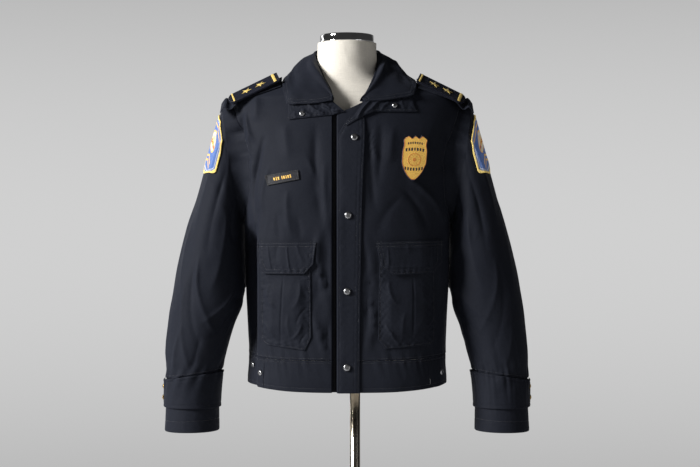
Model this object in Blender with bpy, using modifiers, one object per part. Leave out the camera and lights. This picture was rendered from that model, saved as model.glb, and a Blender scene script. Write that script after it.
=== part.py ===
# A police uniform jacket worn on a limbless dress form with a round base.
# Metres, +Z up, the front faces -Y, the origin is the centre of the base's underside.
# Right and left are the wearer's: right is at -X.

import math

import bmesh
import bpy
from mathutils import Matrix, Vector

# Driving dimensions
WALL = 0.0020           # shell cloth, two layers with light interlining
TRIM_WALL = 0.0016      # pockets, flaps, straps and lapels
SEAM_GAP = 0.0003       # between pieces sewn edge to edge
LAY_GAP = 0.0007        # under a piece that lies on another
FORM_OFFSET_X = -0.016  # the form's neck stands this far to the side of the pole
HEM_HEIGHT = 0.897
HEM_RISE = 0.012        # the hem is this much higher at the sides
BAND_SEAM_HEIGHT = 0.958
BAND_SEAM_RISE = 0.007
UNDERARM_HEIGHT = 1.234
SHOULDER_HEIGHT = 1.470
NECK_FRONT_HEIGHT = 1.434
NECK_SIDE_HEIGHT = 1.536
NECK_BACK_HEIGHT = 1.541
ARMHOLE_FRONT = math.radians(28)
ARMHOLE_BACK = math.radians(25)
FRONT_EDGE_RIGHT = -0.0285
ZIP_EDGE = -0.0192
BAND_SIDE_EDGE = 0.160
PLACKET_RIGHT_EDGE = -0.0185
PLACKET_LEFT_EDGE = 0.0265
PLACKET_WALL = 0.0024
POLE_RADIUS = 0.0104
BASE_RADIUS = 0.190
BASE_THICKNESS = 0.012
NECK_CAP_RADIUS = 0.0547
TOTAL_HEIGHT = 1.600
SNAP_RADIUS = 0.0072
SNAP_HEIGHT = 0.0040
SMALL_SNAP_RADIUS = 0.0052
SMALL_SNAP_HEIGHT = 0.0032
CUFF_BUTTON_RADIUS = 0.0048
CUFF_BUTTON_HEIGHT = 0.0030

BODY_COLUMNS = ("height", "half_width", "front", "back", "square")
BODY_SECTIONS = (
    (0.860, 0.1978, 0.131, 0.120, 3.0),
    (0.915, 0.1978, 0.133, 0.121, 3.0),
    (0.955, 0.1956, 0.131, 0.119, 3.0),
    (1.000, 0.1968, 0.130, 0.117, 3.0),
    (1.085, 0.2008, 0.130, 0.116, 3.0),
    (1.160, 0.2030, 0.133, 0.120, 2.9),
    (1.234, 0.2045, 0.136, 0.127, 2.7),
    (1.300, 0.2075, 0.135, 0.132, 2.5),
    (1.345, 0.2145, 0.130, 0.133, 2.35),
    (1.385, 0.2245, 0.121, 0.130, 2.25),
    (1.430, 0.2345, 0.108, 0.122, 2.15),
    (1.450, 0.2355, 0.101, 0.116, 2.1),
    (1.470, 0.2320, 0.093, 0.109, 2.0),
    (1.486, 0.1900, 0.086, 0.100, 2.0),
    (1.501, 0.1460, 0.079, 0.091, 2.0),
    (1.516, 0.1080, 0.072, 0.082, 2.0),
    (1.528, 0.0880, 0.068, 0.076, 2.0),
    (1.540, 0.0745, 0.066, 0.072, 2.0),
    (1.556, 0.0680, 0.064, 0.070, 2.0),
)

FORM_COLUMNS = ("height", "half_width", "front", "back", "square")
FORM_SECTIONS = (
    (0.925, 0.140, 0.090, 0.080, 2.0),
    (0.932, 0.158, 0.100, 0.090, 2.0),
    (1.050, 0.170, 0.106, 0.094, 2.1),
    (1.160, 0.178, 0.112, 0.100, 2.2),
    (1.250, 0.182, 0.114, 0.107, 2.2),
    (1.330, 0.184, 0.109, 0.111, 2.2),
    (1.390, 0.186, 0.098, 0.107, 2.1),
    (1.430, 0.190, 0.088, 0.098, 2.0),
    (1.455, 0.190, 0.080, 0.090, 2.0),
    (1.470, 0.175, 0.0745, 0.084, 2.0),
    (1.480, 0.152, 0.0710, 0.078, 2.0),
    (1.490, 0.126, 0.0670, 0.073, 2.0),
    (1.500, 0.102, 0.0625, 0.067, 2.0),
    (1.510, 0.082, 0.0605, 0.062, 2.0),
    (1.522, 0.067, 0.0592, 0.0597, 2.0),
    (1.536, 0.0600, 0.0586, 0.0587, 2.0),
    (1.5825, 0.0588, 0.0588, 0.0588, 2.0),
)

# Creases of the body cloth, seen from the front or the back: a line from (x0, z0) to (x1, z1),
# the width of its roll, and its depth, which is below zero for a trough.
CREASE_COLUMNS = ("x0", "z0", "x1", "z1", "width", "depth")
FRONT_CREASES = (
    (-0.176, 1.468, -0.178, 1.425, 0.014, 0.0040),
    (-0.200, 1.412, -0.184, 1.345, 0.014, -0.0040),
    (-0.186, 1.340, -0.184, 1.225, 0.014, 0.0030),
    (-0.060, 1.400, -0.054, 1.230, 0.016, -0.0040),
    (-0.120, 1.410, -0.112, 1.350, 0.014, 0.0030),
    (-0.110, 1.275, -0.105, 1.205, 0.014, 0.0025),
    (0.062, 1.410, 0.060, 1.230, 0.016, -0.0035),
    (0.196, 1.400, 0.188, 1.330, 0.014, -0.0035),
    (0.140, 1.285, 0.186, 1.225, 0.016, 0.0050),
    (0.120, 1.275, 0.150, 1.215, 0.014, -0.0030),
)
# Where a piece lies on a front panel the cloth under it is plain.
PLAIN_COLUMNS = ("x0", "x1", "z0", "z1")
PLAIN_PLACES = (
    (-0.178, -0.058, 0.960, 1.190),
    (0.054, 0.190, 0.960, 1.190),
    (-0.030, 0.040, 0.880, 1.440),
    (-0.158, -0.090, 1.295, 1.326),
    (0.100, 0.158, 1.302, 1.392),
)
PLAIN_MARGIN = 0.018
BACK_CREASES = (
    (-0.150, 1.410, -0.165, 1.290, 0.016, 0.0040),
    (0.150, 1.415, 0.168, 1.285, 0.016, 0.0040),
    (-0.060, 1.180, -0.120, 1.020, 0.018, 0.0040),
    (0.075, 1.160, 0.115, 1.000, 0.018, 0.0038),
    (0.005, 1.130, -0.010, 0.985, 0.016, -0.0035),
    (-0.110, 1.260, -0.060, 1.140, 0.016, -0.0030),
    (0.105, 1.250, 0.050, 1.120, 0.016, -0.0030),
    (-0.035, 1.080, -0.045, 0.975, 0.012, 0.0030),
    (0.150, 1.110, 0.160, 0.985, 0.014, 0.0030),
)

# Sleeve sections on the wearer's right, seen from the front: the outer and the inner point of
# each ring (x is the distance from the middle), how far back its middle lies, its half depth
# and how square it is.
SLEEVE_COLUMNS = ("along", "outer_x", "outer_z", "inner_x", "inner_z", "middle_y", "half_depth", "square")
SLEEVE_SECTIONS = (
    (0.000, 0.2480, 1.4560, 0.2075, 1.2220, 0.000, 0.070, 2.0),
    (0.045, 0.2562, 1.4300, 0.2085, 1.2080, 0.000, 0.074, 2.0),
    (0.120, 0.2700, 1.3800, 0.2092, 1.1960, -0.001, 0.079, 2.0),
    (0.200, 0.2846, 1.3260, 0.2098, 1.1800, -0.003, 0.081, 2.1),
    (0.280, 0.2992, 1.2740, 0.2098, 1.1600, -0.006, 0.081, 2.1),
    (0.360, 0.3114, 1.2300, 0.2092, 1.1380, -0.009, 0.079, 2.1),
    (0.450, 0.3260, 1.1726, 0.2085, 1.1080, -0.013, 0.076, 2.1),
    (0.560, 0.3420, 1.1020, 0.2090, 1.0700, -0.018, 0.073, 2.1),
    (0.680, 0.3530, 1.0300, 0.2240, 1.0190, -0.022, 0.069, 2.1),
    (0.790, 0.3580, 0.9640, 0.2400, 0.9620, -0.025, 0.065, 2.1),
    (0.860, 0.3580, 0.9240, 0.2490, 0.9260, -0.026, 0.062, 2.1),
    (0.930, 0.3585, 0.8700, 0.2535, 0.8700, -0.027, 0.060, 2.1),
    (1.000, 0.3610, 0.8140, 0.2530, 0.8150, -0.028, 0.060, 2.1),
)
CUFF_SEAM = 0.862       # where the cuff is sewn on, along the sleeve
CUFF_TOP_TILT = 0.012   # the seam is higher at the inner side

# Creases of a sleeve: along is 0 at the shoulder and 1 at the cuff, round is 0 at the outer side,
# 90 at the front and 180 at the inner side.
SLEEVE_CREASE_COLUMNS = ("along0", "round0", "along1", "round1", "width", "depth")
SLEEVE_CREASES = (
    (0.02, 60, 0.34, 48, 0.016, 0.0045),
    (0.08, 84, 0.40, 82, 0.014, -0.0040),
    (0.20, 108, 0.52, 100, 0.014, 0.0040),
    (0.46, 70, 0.70, 118, 0.014, 0.0050),
    (0.54, 62, 0.84, 104, 0.014, -0.0045),
    (0.70, 60, 0.84, 52, 0.014, 0.0035),
    (0.60, 128, 0.70, 92, 0.012, 0.0040),
    (0.06, 290, 0.38, 300, 0.016, 0.0045),
    (0.14, 262, 0.44, 268, 0.014, -0.0040),
    (0.50, 300, 0.66, 250, 0.016, 0.0050),
    (0.58, 310, 0.74, 262, 0.014, -0.0045),
    (0.68, 300, 0.84, 290, 0.014, 0.0035),
    (0.30, 14, 0.56, 8, 0.016, 0.0030),
)


def named_rows(columns, rows):
    return [dict(zip(columns, row)) for row in rows]


def curve_through(columns, rows, column):
    # A monotone cubic through one column of a table, against its first column.
    named = named_rows(columns, rows)
    xs = [row[columns[0]] for row in named]
    ys = [row[column] for row in named]
    steps = [xs[i + 1] - xs[i] for i in range(len(xs) - 1)]
    rises = [(ys[i + 1] - ys[i]) / steps[i] for i in range(len(steps))]
    slopes = [rises[0]]
    for i in range(1, len(rises)):
        before, after = rises[i - 1], rises[i]
        even = before * after > 0
        slopes.append(2 * before * after / (before + after) if even else 0.0)
    slopes.append(rises[-1])

    def read(x):
        x = min(max(x, xs[0]), xs[-1])
        i = 0
        while i < len(steps) - 1 and x > xs[i + 1]:
            i += 1
        h = steps[i]
        t = (x - xs[i]) / h
        first = ys[i] * (1 + 2 * t) * (1 - t) ** 2 + slopes[i] * h * t * (1 - t) ** 2
        second = ys[i + 1] * t * t * (3 - 2 * t) + slopes[i + 1] * h * t * t * (t - 1)
        return first + second

    return read


def curves_of(columns, rows):
    return {name: curve_through(columns, rows, name) for name in columns[1:]}


BODY = curves_of(BODY_COLUMNS, BODY_SECTIONS)
FORM = curves_of(FORM_COLUMNS, FORM_SECTIONS)
SLEEVE = curves_of(SLEEVE_COLUMNS, SLEEVE_SECTIONS)


def mix(a, b, t):
    return a + (b - a) * t


def smooth(t):
    t = min(max(t, 0.0), 1.0)
    return t * t * (3 - 2 * t)


def signed_power(value, power):
    return math.copysign(abs(value) ** power, value)


def ring(sections, theta, z):
    # A squared ellipse at one height. theta is 0 at the front, 90 degrees at +X.
    power = 2 / sections["square"](z)
    s, c = math.sin(theta), math.cos(theta)
    depth = sections["front"](z) if c >= 0 else sections["back"](z)
    return Vector((sections["half_width"](z) * signed_power(s, power), -depth * signed_power(c, power), z))


def ring_level(sections, x, y, z):
    # 1 on the surface, more outside it.
    n = sections["square"](z)
    depth = sections["front"](z) if y <= 0 else sections["back"](z)
    return abs(x / sections["half_width"](z)) ** n + abs(y / depth) ** n


def ring_normal(sections, point):
    step = 0.0008
    x, y, z = point
    return Vector((
        ring_level(sections, x + step, y, z) - ring_level(sections, x - step, y, z),
        ring_level(sections, x, y + step, z) - ring_level(sections, x, y - step, z),
        ring_level(sections, x, y, z + step) - ring_level(sections, x, y, z - step),
    )).normalized()


def crease_height(rows, columns, u, v):
    # The sum of soft rolls, each along its own line and fading out at both ends.
    u0, v0, u1, v1, width, depth = columns
    total = 0.0
    for row in rows:
        du, dv = row[u1] - row[u0], row[v1] - row[v0]
        length = math.hypot(du, dv)
        along = ((u - row[u0]) * du + (v - row[v0]) * dv) / (length * length)
        across = ((u - row[u0]) * dv - (v - row[v0]) * du) / length
        fade = smooth((along + 0.15) / 0.4) * smooth((1.15 - along) / 0.4)
        total += row[depth] * fade * math.exp(-(across / row[width]) ** 2)
    return total


FRONT_ROWS = named_rows(CREASE_COLUMNS, FRONT_CREASES)
BACK_ROWS = named_rows(CREASE_COLUMNS, BACK_CREASES)
PLAIN_ROWS = named_rows(PLAIN_COLUMNS, PLAIN_PLACES)


def front_creasing(x, z):
    # 0 where a piece lies on the panel, 1 away from every such piece.
    share = 1.0
    for row in PLAIN_ROWS:
        away_x = max(row["x0"] - x, x - row["x1"], 0.0)
        away_z = max(row["z0"] - z, z - row["z1"], 0.0)
        share *= smooth((math.hypot(away_x, away_z) - 0.004) / PLAIN_MARGIN)
    return share


def body_point(theta, z, lift=0.0):
    point = ring(BODY, theta, z)
    normal = ring_normal(BODY, point)
    rows = FRONT_ROWS if math.cos(theta) >= 0 else BACK_ROWS
    facing = smooth(abs(math.cos(theta)) / 0.35)
    height = facing * crease_height(rows, CREASE_COLUMNS, point.x, point.z)
    if rows is FRONT_ROWS:
        height *= front_creasing(point.x, point.z)
    return point + normal * (height + lift)


def theta_at(x, z):
    # The front's angle at a distance from the middle.
    share = min(abs(x) / BODY["half_width"](z), 1.0)
    return math.copysign(math.asin(share ** (BODY["square"](z) / 2)), x)


def front_point(x, z, lift=0.0):
    return body_point(theta_at(x, z), z, lift)


def top_height(x, y):
    # The height of the shoulder cloth over a point.
    low, high = 1.36, 1.556
    for _ in range(40):
        middle = (low + high) / 2
        if ring_level(BODY, x, y, middle) < 1:
            low = middle
        else:
            high = middle
    return low


def hem_height(theta):
    return HEM_HEIGHT + HEM_RISE * math.sin(theta) ** 2


def band_seam_height(theta):
    return BAND_SEAM_HEIGHT + BAND_SEAM_RISE * math.sin(theta) ** 2


# The armhole, as a loop on the body: turn is 0 at the shoulder, 90 degrees at the front, 180 underneath.
ARMHOLE_MIDDLE = (SHOULDER_HEIGHT + UNDERARM_HEIGHT) / 2
ARMHOLE_HALF = (SHOULDER_HEIGHT - UNDERARM_HEIGHT) / 2
ARMHOLE_ROUNDNESS = 0.7
SLEEVE_SHRINK = 0.9930      # leaves the seam's gap between the sleeve and the panels
SEAM_FLAT = 0.004           # the sleeve follows the panel for this far before it turns
SLEEVE_LENGTH = 0.66
SLEEVE_GIRTH_RADIUS = 0.072
SLEEVE_ROWS = (0.0, 0.045, 0.09, 0.15, 0.21, 0.27, 0.33, 0.39, 0.45, 0.51, 0.57, 0.63, 0.69, 0.75, 0.81)
ARMHOLE_STEPS = 12          # from the shoulder to the underarm, for panels and sleeves alike


def armhole_loop(turn, scale=1.0):
    # Angle from the side towards the front (or the back, below zero), and height.
    reach = ARMHOLE_FRONT if math.sin(turn) >= 0 else ARMHOLE_BACK
    away = reach * scale * signed_power(math.sin(turn), ARMHOLE_ROUNDNESS)
    return away, ARMHOLE_MIDDLE + ARMHOLE_HALF * scale * math.cos(turn)


def sleeve_base(along, turn):
    # A point of the sleeve at +X before any crease.
    c = {name: read(along) for name, read in SLEEVE.items()}
    middle = Vector(((c["outer_x"] + c["inner_x"]) / 2, c["middle_y"], (c["outer_z"] + c["inner_z"]) / 2))
    out = Vector(((c["outer_x"] - c["inner_x"]) / 2, 0, (c["outer_z"] - c["inner_z"]) / 2))
    power = 2 / c["square"]
    forward = Vector((0, -c["half_depth"], 0))
    return middle + out * signed_power(math.cos(turn), power) + forward * signed_power(math.sin(turn), power)


def sleeve_crease_rows():
    rows = named_rows(SLEEVE_CREASE_COLUMNS, SLEEVE_CREASES)
    for row in rows:
        row["along0"] *= SLEEVE_LENGTH
        row["along1"] *= SLEEVE_LENGTH
        row["round0"] = math.radians(row["round0"]) * SLEEVE_GIRTH_RADIUS
        row["round1"] = math.radians(row["round1"]) * SLEEVE_GIRTH_RADIUS
    return rows


SLEEVE_CREASE_ROWS = sleeve_crease_rows()


def sleeve_point(side, along, turn, lift=0.0):
    # side is -1 on the wearer's right and 1 on the left.
    step = 0.004
    low, high = max(along - step, 0.0), min(along + step, 1.0)
    down = sleeve_base(high, turn) - sleeve_base(low, turn)
    round_ = sleeve_base(along, turn + 0.02) - sleeve_base(along, turn - 0.02)
    normal = round_.cross(down).normalized()
    base = sleeve_base(along, turn)
    if normal.dot(base - sleeve_base(along, turn + math.pi)) < 0:
        normal = -normal
    height = 0.0
    for whole in (-1, 0, 1):
        around = (turn + whole * math.tau) * SLEEVE_GIRTH_RADIUS
        height += crease_height(SLEEVE_CREASE_ROWS, SLEEVE_CREASE_COLUMNS, along * SLEEVE_LENGTH, around)
    height *= 1 - smooth((along - 0.80) / 0.06)
    point = base + normal * (height + lift)
    return Vector((side * point.x, point.y, point.z))


def sleeve_seam_points(side, turn):
    # The seam's point, and a point just beyond it in line with the panel.
    def on_loop(scale):
        away, z = armhole_loop(turn, scale)
        return body_point(side * (math.pi / 2 - away), z)

    seam = on_loop(SLEEVE_SHRINK)
    panel = on_loop(1.09)
    return seam, seam + (seam - panel).normalized() * SEAM_FLAT


def cuff_seam_along(turn):
    return CUFF_SEAM - 0.004 + CUFF_TOP_TILT * math.cos(turn)


# Making solids

def principled(name, colour, roughness, metallic=0.0):
    material = bpy.data.materials.new(name)
    material.use_nodes = True
    shader = material.node_tree.nodes["Principled BSDF"]
    shader.inputs["Base Color"].default_value = (*colour, 1.0)
    shader.inputs["Roughness"].default_value = roughness
    shader.inputs["Metallic"].default_value = metallic
    material.diffuse_color = (*colour, 1.0)
    return material


class Maker:
    # Keeps the collection, the empty that the garment hangs on, and the materials.
    def __init__(self):
        self.collection = bpy.data.collections.new("police_uniform_jacket")
        bpy.context.scene.collection.children.link(self.collection)
        self.form_axis = bpy.data.objects.new("form_axis", None)
        self.form_axis.location.x = FORM_OFFSET_X
        self.collection.objects.link(self.form_axis)
        self.shell = principled("shell_nylon", (0.012, 0.014, 0.024), 0.55)
        self.tape = principled("zip_tape", (0.006, 0.006, 0.008), 0.7)
        self.gold = principled("gold_thread", (0.85, 0.48, 0.10), 0.45)
        self.brass = principled("brass", (0.85, 0.60, 0.25), 0.3, 1.0)
        self.nickel = principled("nickel", (0.62, 0.62, 0.62), 0.25, 1.0)
        self.chrome = principled("chrome", (0.75, 0.75, 0.76), 0.08, 1.0)
        self.linen = principled("form_linen", (0.82, 0.79, 0.68), 0.8)
        self.steel = principled("base_steel", (0.55, 0.54, 0.52), 0.35, 1.0)

    def add(self, name, mesh, material, on_form=True):
        thing = bpy.data.objects.new(name, mesh)
        thing.data.materials.clear()
        thing.data.materials.append(material)
        self.collection.objects.link(thing)
        if on_form:
            thing.parent = self.form_axis
        return thing

    def sheet(self, name, rows, wall, material=None, closed=False, flip=False):
        # An open surface through rows of points, given thickness on its inner side.
        mesh = grid_mesh(name, rows, closed, flip)
        thing = self.add(name, mesh, material or self.shell)
        solid = thing.modifiers.new("wall", "SOLIDIFY")
        solid.thickness = wall
        solid.offset = -1.0
        return thing


def grid_mesh(name, rows, closed=False, flip=False):
    work = bmesh.new()
    grid = [[work.verts.new(point) for point in row] for row in rows]
    count = len(rows[0])
    last = count if closed else count - 1
    for lower, upper in zip(grid, grid[1:]):
        for i in range(last):
            j = (i + 1) % count
            corners = [lower[i], lower[j], upper[j], upper[i]]
            if flip:
                corners.reverse()
            work.faces.new(corners)
    mesh = bpy.data.meshes.new(name)
    work.to_mesh(mesh)
    work.free()
    mesh.shade_smooth()
    return mesh


def shares(count, start=0.0, end=1.0):
    return [mix(start, end, i / (count - 1)) for i in range(count)]


# Body panels

SIDE_SHARE = 0.40       # of a panel's height: the side seam, then the armhole, then the shoulder seam
ARMHOLE_SHARE = 0.77
SIDE_STEPS = 9
SHOULDER_STEPS = 6
FRONT_COLUMNS = 12
BACK_COLUMNS_ROUND = 19


def side_angle(z, depth, gap=SEAM_GAP):
    # The angle that leaves half a seam's gap at the side or along the shoulder.
    return (0.9 * gap / depth(z)) ** (BODY["square"](z) / 2)


def panel_side_edge(share, toward):
    # How far from the side, as an angle, and how high a panel's side edge runs.
    depth = BODY["front"] if toward > 0 else BODY["back"]
    if share <= SIDE_SHARE:
        seam = band_seam_height(math.pi / 2) + SEAM_GAP
        z = mix(seam, UNDERARM_HEIGHT, share / SIDE_SHARE)
        return side_angle(z, depth), z
    if share <= ARMHOLE_SHARE:
        turn = math.pi * (1 - (share - SIDE_SHARE) / (ARMHOLE_SHARE - SIDE_SHARE))
        away, z = armhole_loop(toward * turn)
        return max(abs(away), side_angle(z, depth)), z
    z = mix(SHOULDER_HEIGHT, NECK_SIDE_HEIGHT, (share - ARMHOLE_SHARE) / (1 - ARMHOLE_SHARE))
    return side_angle(z, depth), z


def middle_edge_height(share, heights):
    bottom, side_top, arm_top, top = heights
    if share <= SIDE_SHARE:
        return mix(bottom, side_top, share / SIDE_SHARE)
    if share <= ARMHOLE_SHARE:
        return mix(side_top, arm_top, (share - SIDE_SHARE) / (ARMHOLE_SHARE - SIDE_SHARE))
    return mix(arm_top, top, (share - ARMHOLE_SHARE) / (1 - ARMHOLE_SHARE))


FRONT_EDGE_HEIGHTS = (BAND_SEAM_HEIGHT + SEAM_GAP, 1.225, 1.372, NECK_FRONT_HEIGHT)
BACK_MIDDLE_HEIGHTS = (BAND_SEAM_HEIGHT + SEAM_GAP, UNDERARM_HEIGHT, 1.462, NECK_BACK_HEIGHT)
NECKLINE_BEND = 2.2
BAND_SIDE_GAP = 0.004       # as an angle, between the front and the back hem band
ZIP_RISE = 0.012            # the zip shows this far above the front neckline


def panel_shares():
    below = shares(SIDE_STEPS + 1, 0.0, SIDE_SHARE)
    beside = shares(ARMHOLE_STEPS + 1, SIDE_SHARE, ARMHOLE_SHARE)
    above = shares(SHOULDER_STEPS + 1, ARMHOLE_SHARE, 1.0)
    return below + beside[1:] + above[1:]


def front_rows(edge_x, side):
    rows = []
    for share in panel_shares():
        away, z_side = panel_side_edge(share, 1)
        z_edge = middle_edge_height(share, FRONT_EDGE_HEIGHTS)
        bend = 1 + (NECKLINE_BEND - 1) * smooth((share - SIDE_SHARE) / (1 - SIDE_SHARE))
        theta_edge = side * theta_at(edge_x, z_edge)
        row = []
        for s in shares(FRONT_COLUMNS):
            theta = mix(theta_edge, math.pi / 2 - away, s)
            z = mix(z_edge, z_side, 1 - (1 - s) ** bend)
            if share == 0:
                z = band_seam_height(theta) + SEAM_GAP
            row.append(body_point(side * theta, z))
        rows.append(row if side > 0 else row[::-1])
    return rows


def back_rows():
    rows = []
    for share in panel_shares():
        away, z_side = panel_side_edge(share, -1)
        z_middle = middle_edge_height(share, BACK_MIDDLE_HEIGHTS)
        row = []
        for s in shares(BACK_COLUMNS_ROUND, -1, 1):
            theta = math.pi + s * (math.pi / 2 - away)
            z = mix(z_middle, z_side, s * s)
            if share == 0:
                z = band_seam_height(theta) + SEAM_GAP
            row.append(body_point(theta, z))
        rows.append(row)
    return rows


def band_rows(theta_from, theta_to, count):
    rows = []
    for share in shares(4):
        row = []
        for theta in shares(count, theta_from, theta_to):
            z = mix(hem_height(theta), band_seam_height(theta), share)
            row.append(body_point(theta, z))
        rows.append(row)
    return rows


def make_body(maker):
    maker.sheet("front_right", front_rows(FRONT_EDGE_RIGHT, -1), WALL)
    maker.sheet("front_left", front_rows(ZIP_EDGE, 1), WALL)
    maker.sheet("back", back_rows(), WALL)
    side_right = theta_at(-BAND_SIDE_EDGE, BAND_SEAM_HEIGHT)
    side_left = theta_at(BAND_SIDE_EDGE, BAND_SEAM_HEIGHT)
    edge_right = theta_at(FRONT_EDGE_RIGHT, BAND_SEAM_HEIGHT)
    edge_left = theta_at(ZIP_EDGE, BAND_SEAM_HEIGHT)
    maker.sheet("hem_band_right", band_rows(side_right, edge_right, 9), WALL)
    maker.sheet("hem_band_left", band_rows(edge_left, side_left, 10), WALL)
    back_ends = (side_left + BAND_SIDE_GAP, math.tau + side_right - BAND_SIDE_GAP)
    maker.sheet("hem_band_back", band_rows(*back_ends, 27), WALL)
    # The closed zip between the two front edges, from the hem to the collar's opening.
    rows = []
    top = NECK_FRONT_HEIGHT + ZIP_RISE
    for z in shares(22, HEM_HEIGHT + 0.001, top):
        ends = (FRONT_EDGE_RIGHT + 1.5 * SEAM_GAP, ZIP_EDGE - 1.5 * SEAM_GAP)
        rows.append([front_point(x, z) for x in ends])
    maker.sheet("zip", rows, WALL, maker.tape)


def make_sleeve(maker, side, word):
    flip = side < 0
    turns = [i * math.pi / ARMHOLE_STEPS for i in range(2 * ARMHOLE_STEPS)]
    rows = [list(row) for row in zip(*(sleeve_seam_points(side, turn) for turn in turns))]
    for along in SLEEVE_ROWS:
        rows.append([sleeve_point(side, along, turn) for turn in turns])
    gap = SEAM_GAP / SLEEVE_LENGTH
    rows.append([sleeve_point(side, cuff_seam_along(turn) - gap, turn) for turn in turns])
    maker.sheet("sleeve_" + word, rows, WALL, closed=True, flip=flip)
    rows = []
    for share in shares(4):
        row = []
        for turn in turns:
            row.append(sleeve_point(side, mix(cuff_seam_along(turn) + gap, 1.0, share), turn))
        rows.append(row)
    maker.sheet("cuff_" + word, rows, WALL, closed=True, flip=flip)


# Pieces that lie on the fronts: each row of an outline is one level, from its left to its right end

OUTLINE_COLUMNS = ("x_left", "z_left", "x_right", "z_right")
PLACKET_OUTLINE = (
    (-0.0182, 0.8965, 0.0250, 0.8965),
    (-0.0186, 1.0000, 0.0250, 1.0000),
    (-0.0186, 1.1500, 0.0272, 1.1500),
    (-0.0186, 1.2800, 0.0298, 1.2800),
    (-0.0184, 1.3900, 0.0350, 1.3900),
    (-0.0050, 1.4140, 0.0350, 1.4140),
    (0.0055, 1.4275, 0.0340, 1.4290),
)
POCKET_RIGHT_OUTLINE = (
    (-0.1560, 0.9880, -0.0800, 0.9780),
    (-0.1650, 0.9980, -0.0680, 1.0040),
    (-0.1660, 1.0800, -0.0690, 1.0800),
    (-0.1650, 1.1800, -0.0700, 1.1800),
)
FLAP_RIGHT_OUTLINE = (
    (-0.1570, 1.1253, -0.0815, 1.1253),
    (-0.1680, 1.1445, -0.0640, 1.1445),
    (-0.1715, 1.1867, -0.0595, 1.1867),
)
POCKET_LEFT_OUTLINE = (
    (0.0735, 0.9810, 0.1620, 0.9880),
    (0.0600, 1.0000, 0.1700, 0.9960),
    (0.0610, 1.0800, 0.1700, 1.0800),
    (0.0640, 1.1800, 0.1690, 1.1800),
)
FLAP_LEFT_OUTLINE = (
    (0.0880, 1.1235, 0.1670, 1.1275),
    (0.0645, 1.1400, 0.1800, 1.1460),
    (0.0560, 1.1867, 0.1820, 1.1895),
)
NAME_TAG_OUTLINE = (
    (-0.1528, 1.2954, -0.0905, 1.3066),
    (-0.1566, 1.3149, -0.0930, 1.3248),
)
LAPEL_RIGHT_BOTTOM = ((-0.1124, 1.4225), (-0.0736, 1.4268), (-0.0252, 1.4317), (-0.0116, 1.4365), (-0.0030, 1.4375))
LAPEL_RIGHT_TOP = ((-0.1143, 1.4570), (-0.0600, 1.4600), (-0.0300, 1.4610))
LAPEL_LEFT_BOTTOM = ((-0.0014, 1.4084), (0.0349, 1.4301), (0.0543, 1.4375), (0.1357, 1.4384))
LAPEL_LEFT_TOP = ((0.0345, 1.4590), (0.0600, 1.4660), (0.1246, 1.4740))
POCKET_CROWN = 0.0045
BADGE_CENTRE = (0.1294, 1.347)
BADGE_HEIGHT = 0.085
BADGE_LEAN = 0.08
BADGE_COLUMNS = ("share", "half_width")
BADGE_PROFILE = (
    (0.00, 0.0020),
    (0.10, 0.0115),
    (0.25, 0.0195),
    (0.45, 0.0245),
    (0.65, 0.0245),
    (0.82, 0.0225),
    (0.93, 0.0235),
    (1.00, 0.0190),
)


def outline_levels(table, steps):
    # The table's levels, with even steps between each two.
    levels = []
    for lower, upper in zip(table, table[1:]):
        for i in range(steps):
            levels.append([mix(a, b, i / steps) for a, b in zip(lower, upper)])
    levels.append(list(table[-1]))
    return levels


def along_points(points, share):
    # A point of a bent line at a share of its width.
    x = mix(points[0][0], points[-1][0], share)
    for (x0, z0), (x1, z1) in zip(points, points[1:]):
        if x <= x1 + 1e-9:
            return x, mix(z0, z1, (x - x0) / (x1 - x0))
    return points[-1]


def laid_rows(levels, columns, lift):
    rows = []
    for level in levels:
        left, z_left, right, z_right = level
        row = []
        for s in shares(columns):
            x, z = mix(left, right, s), mix(z_left, z_right, s)
            row.append(front_point(x, z, lift(x, z)))
        rows.append(row)
    return rows


def lapel_rows(bottom, top, lift, columns=12, levels=4):
    rows = []
    for v in shares(levels):
        row = []
        for s in shares(columns):
            low, high = along_points(bottom, s), along_points(top, s)
            x, z = mix(low[0], high[0], v), mix(low[1], high[1], v)
            row.append(front_point(x, z, lift(x)))
        rows.append(row)
    return rows


def pocket_lift(outline):
    left = min(row[0] for row in outline)
    right = max(row[2] for row in outline)
    bottom = min(row[1] for row in outline)

    def lift(x, z):
        inset = min(x - left - 0.004, right - x - 0.004)
        crown = smooth(inset / 0.022) * smooth((z - bottom - 0.010) / 0.03) * smooth((1.118 - z) / 0.035)
        return LAY_GAP + TRIM_WALL + POCKET_CROWN * crown

    return lift


LAPEL_LIFT_RIGHT = 0.0010 + TRIM_WALL
LAPEL_LIFT_OVER_PLACKET = LAY_GAP + PLACKET_WALL + 0.0009 + TRIM_WALL
LAPEL_LIFT_LEFT = 0.0014 + TRIM_WALL


def lapel_left_lift(x):
    return mix(LAPEL_LIFT_OVER_PLACKET, LAPEL_LIFT_LEFT, smooth((x - 0.046) / 0.03))


def surface_turn(point, normal):
    # A matrix at a point whose Z is the normal and whose X lies level.
    across = Vector((0, 0, 1)).cross(normal).normalized()
    up = normal.cross(across)
    turn = Matrix((across, up, normal)).transposed().to_4x4()
    return Matrix.Translation(point) @ turn


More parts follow.
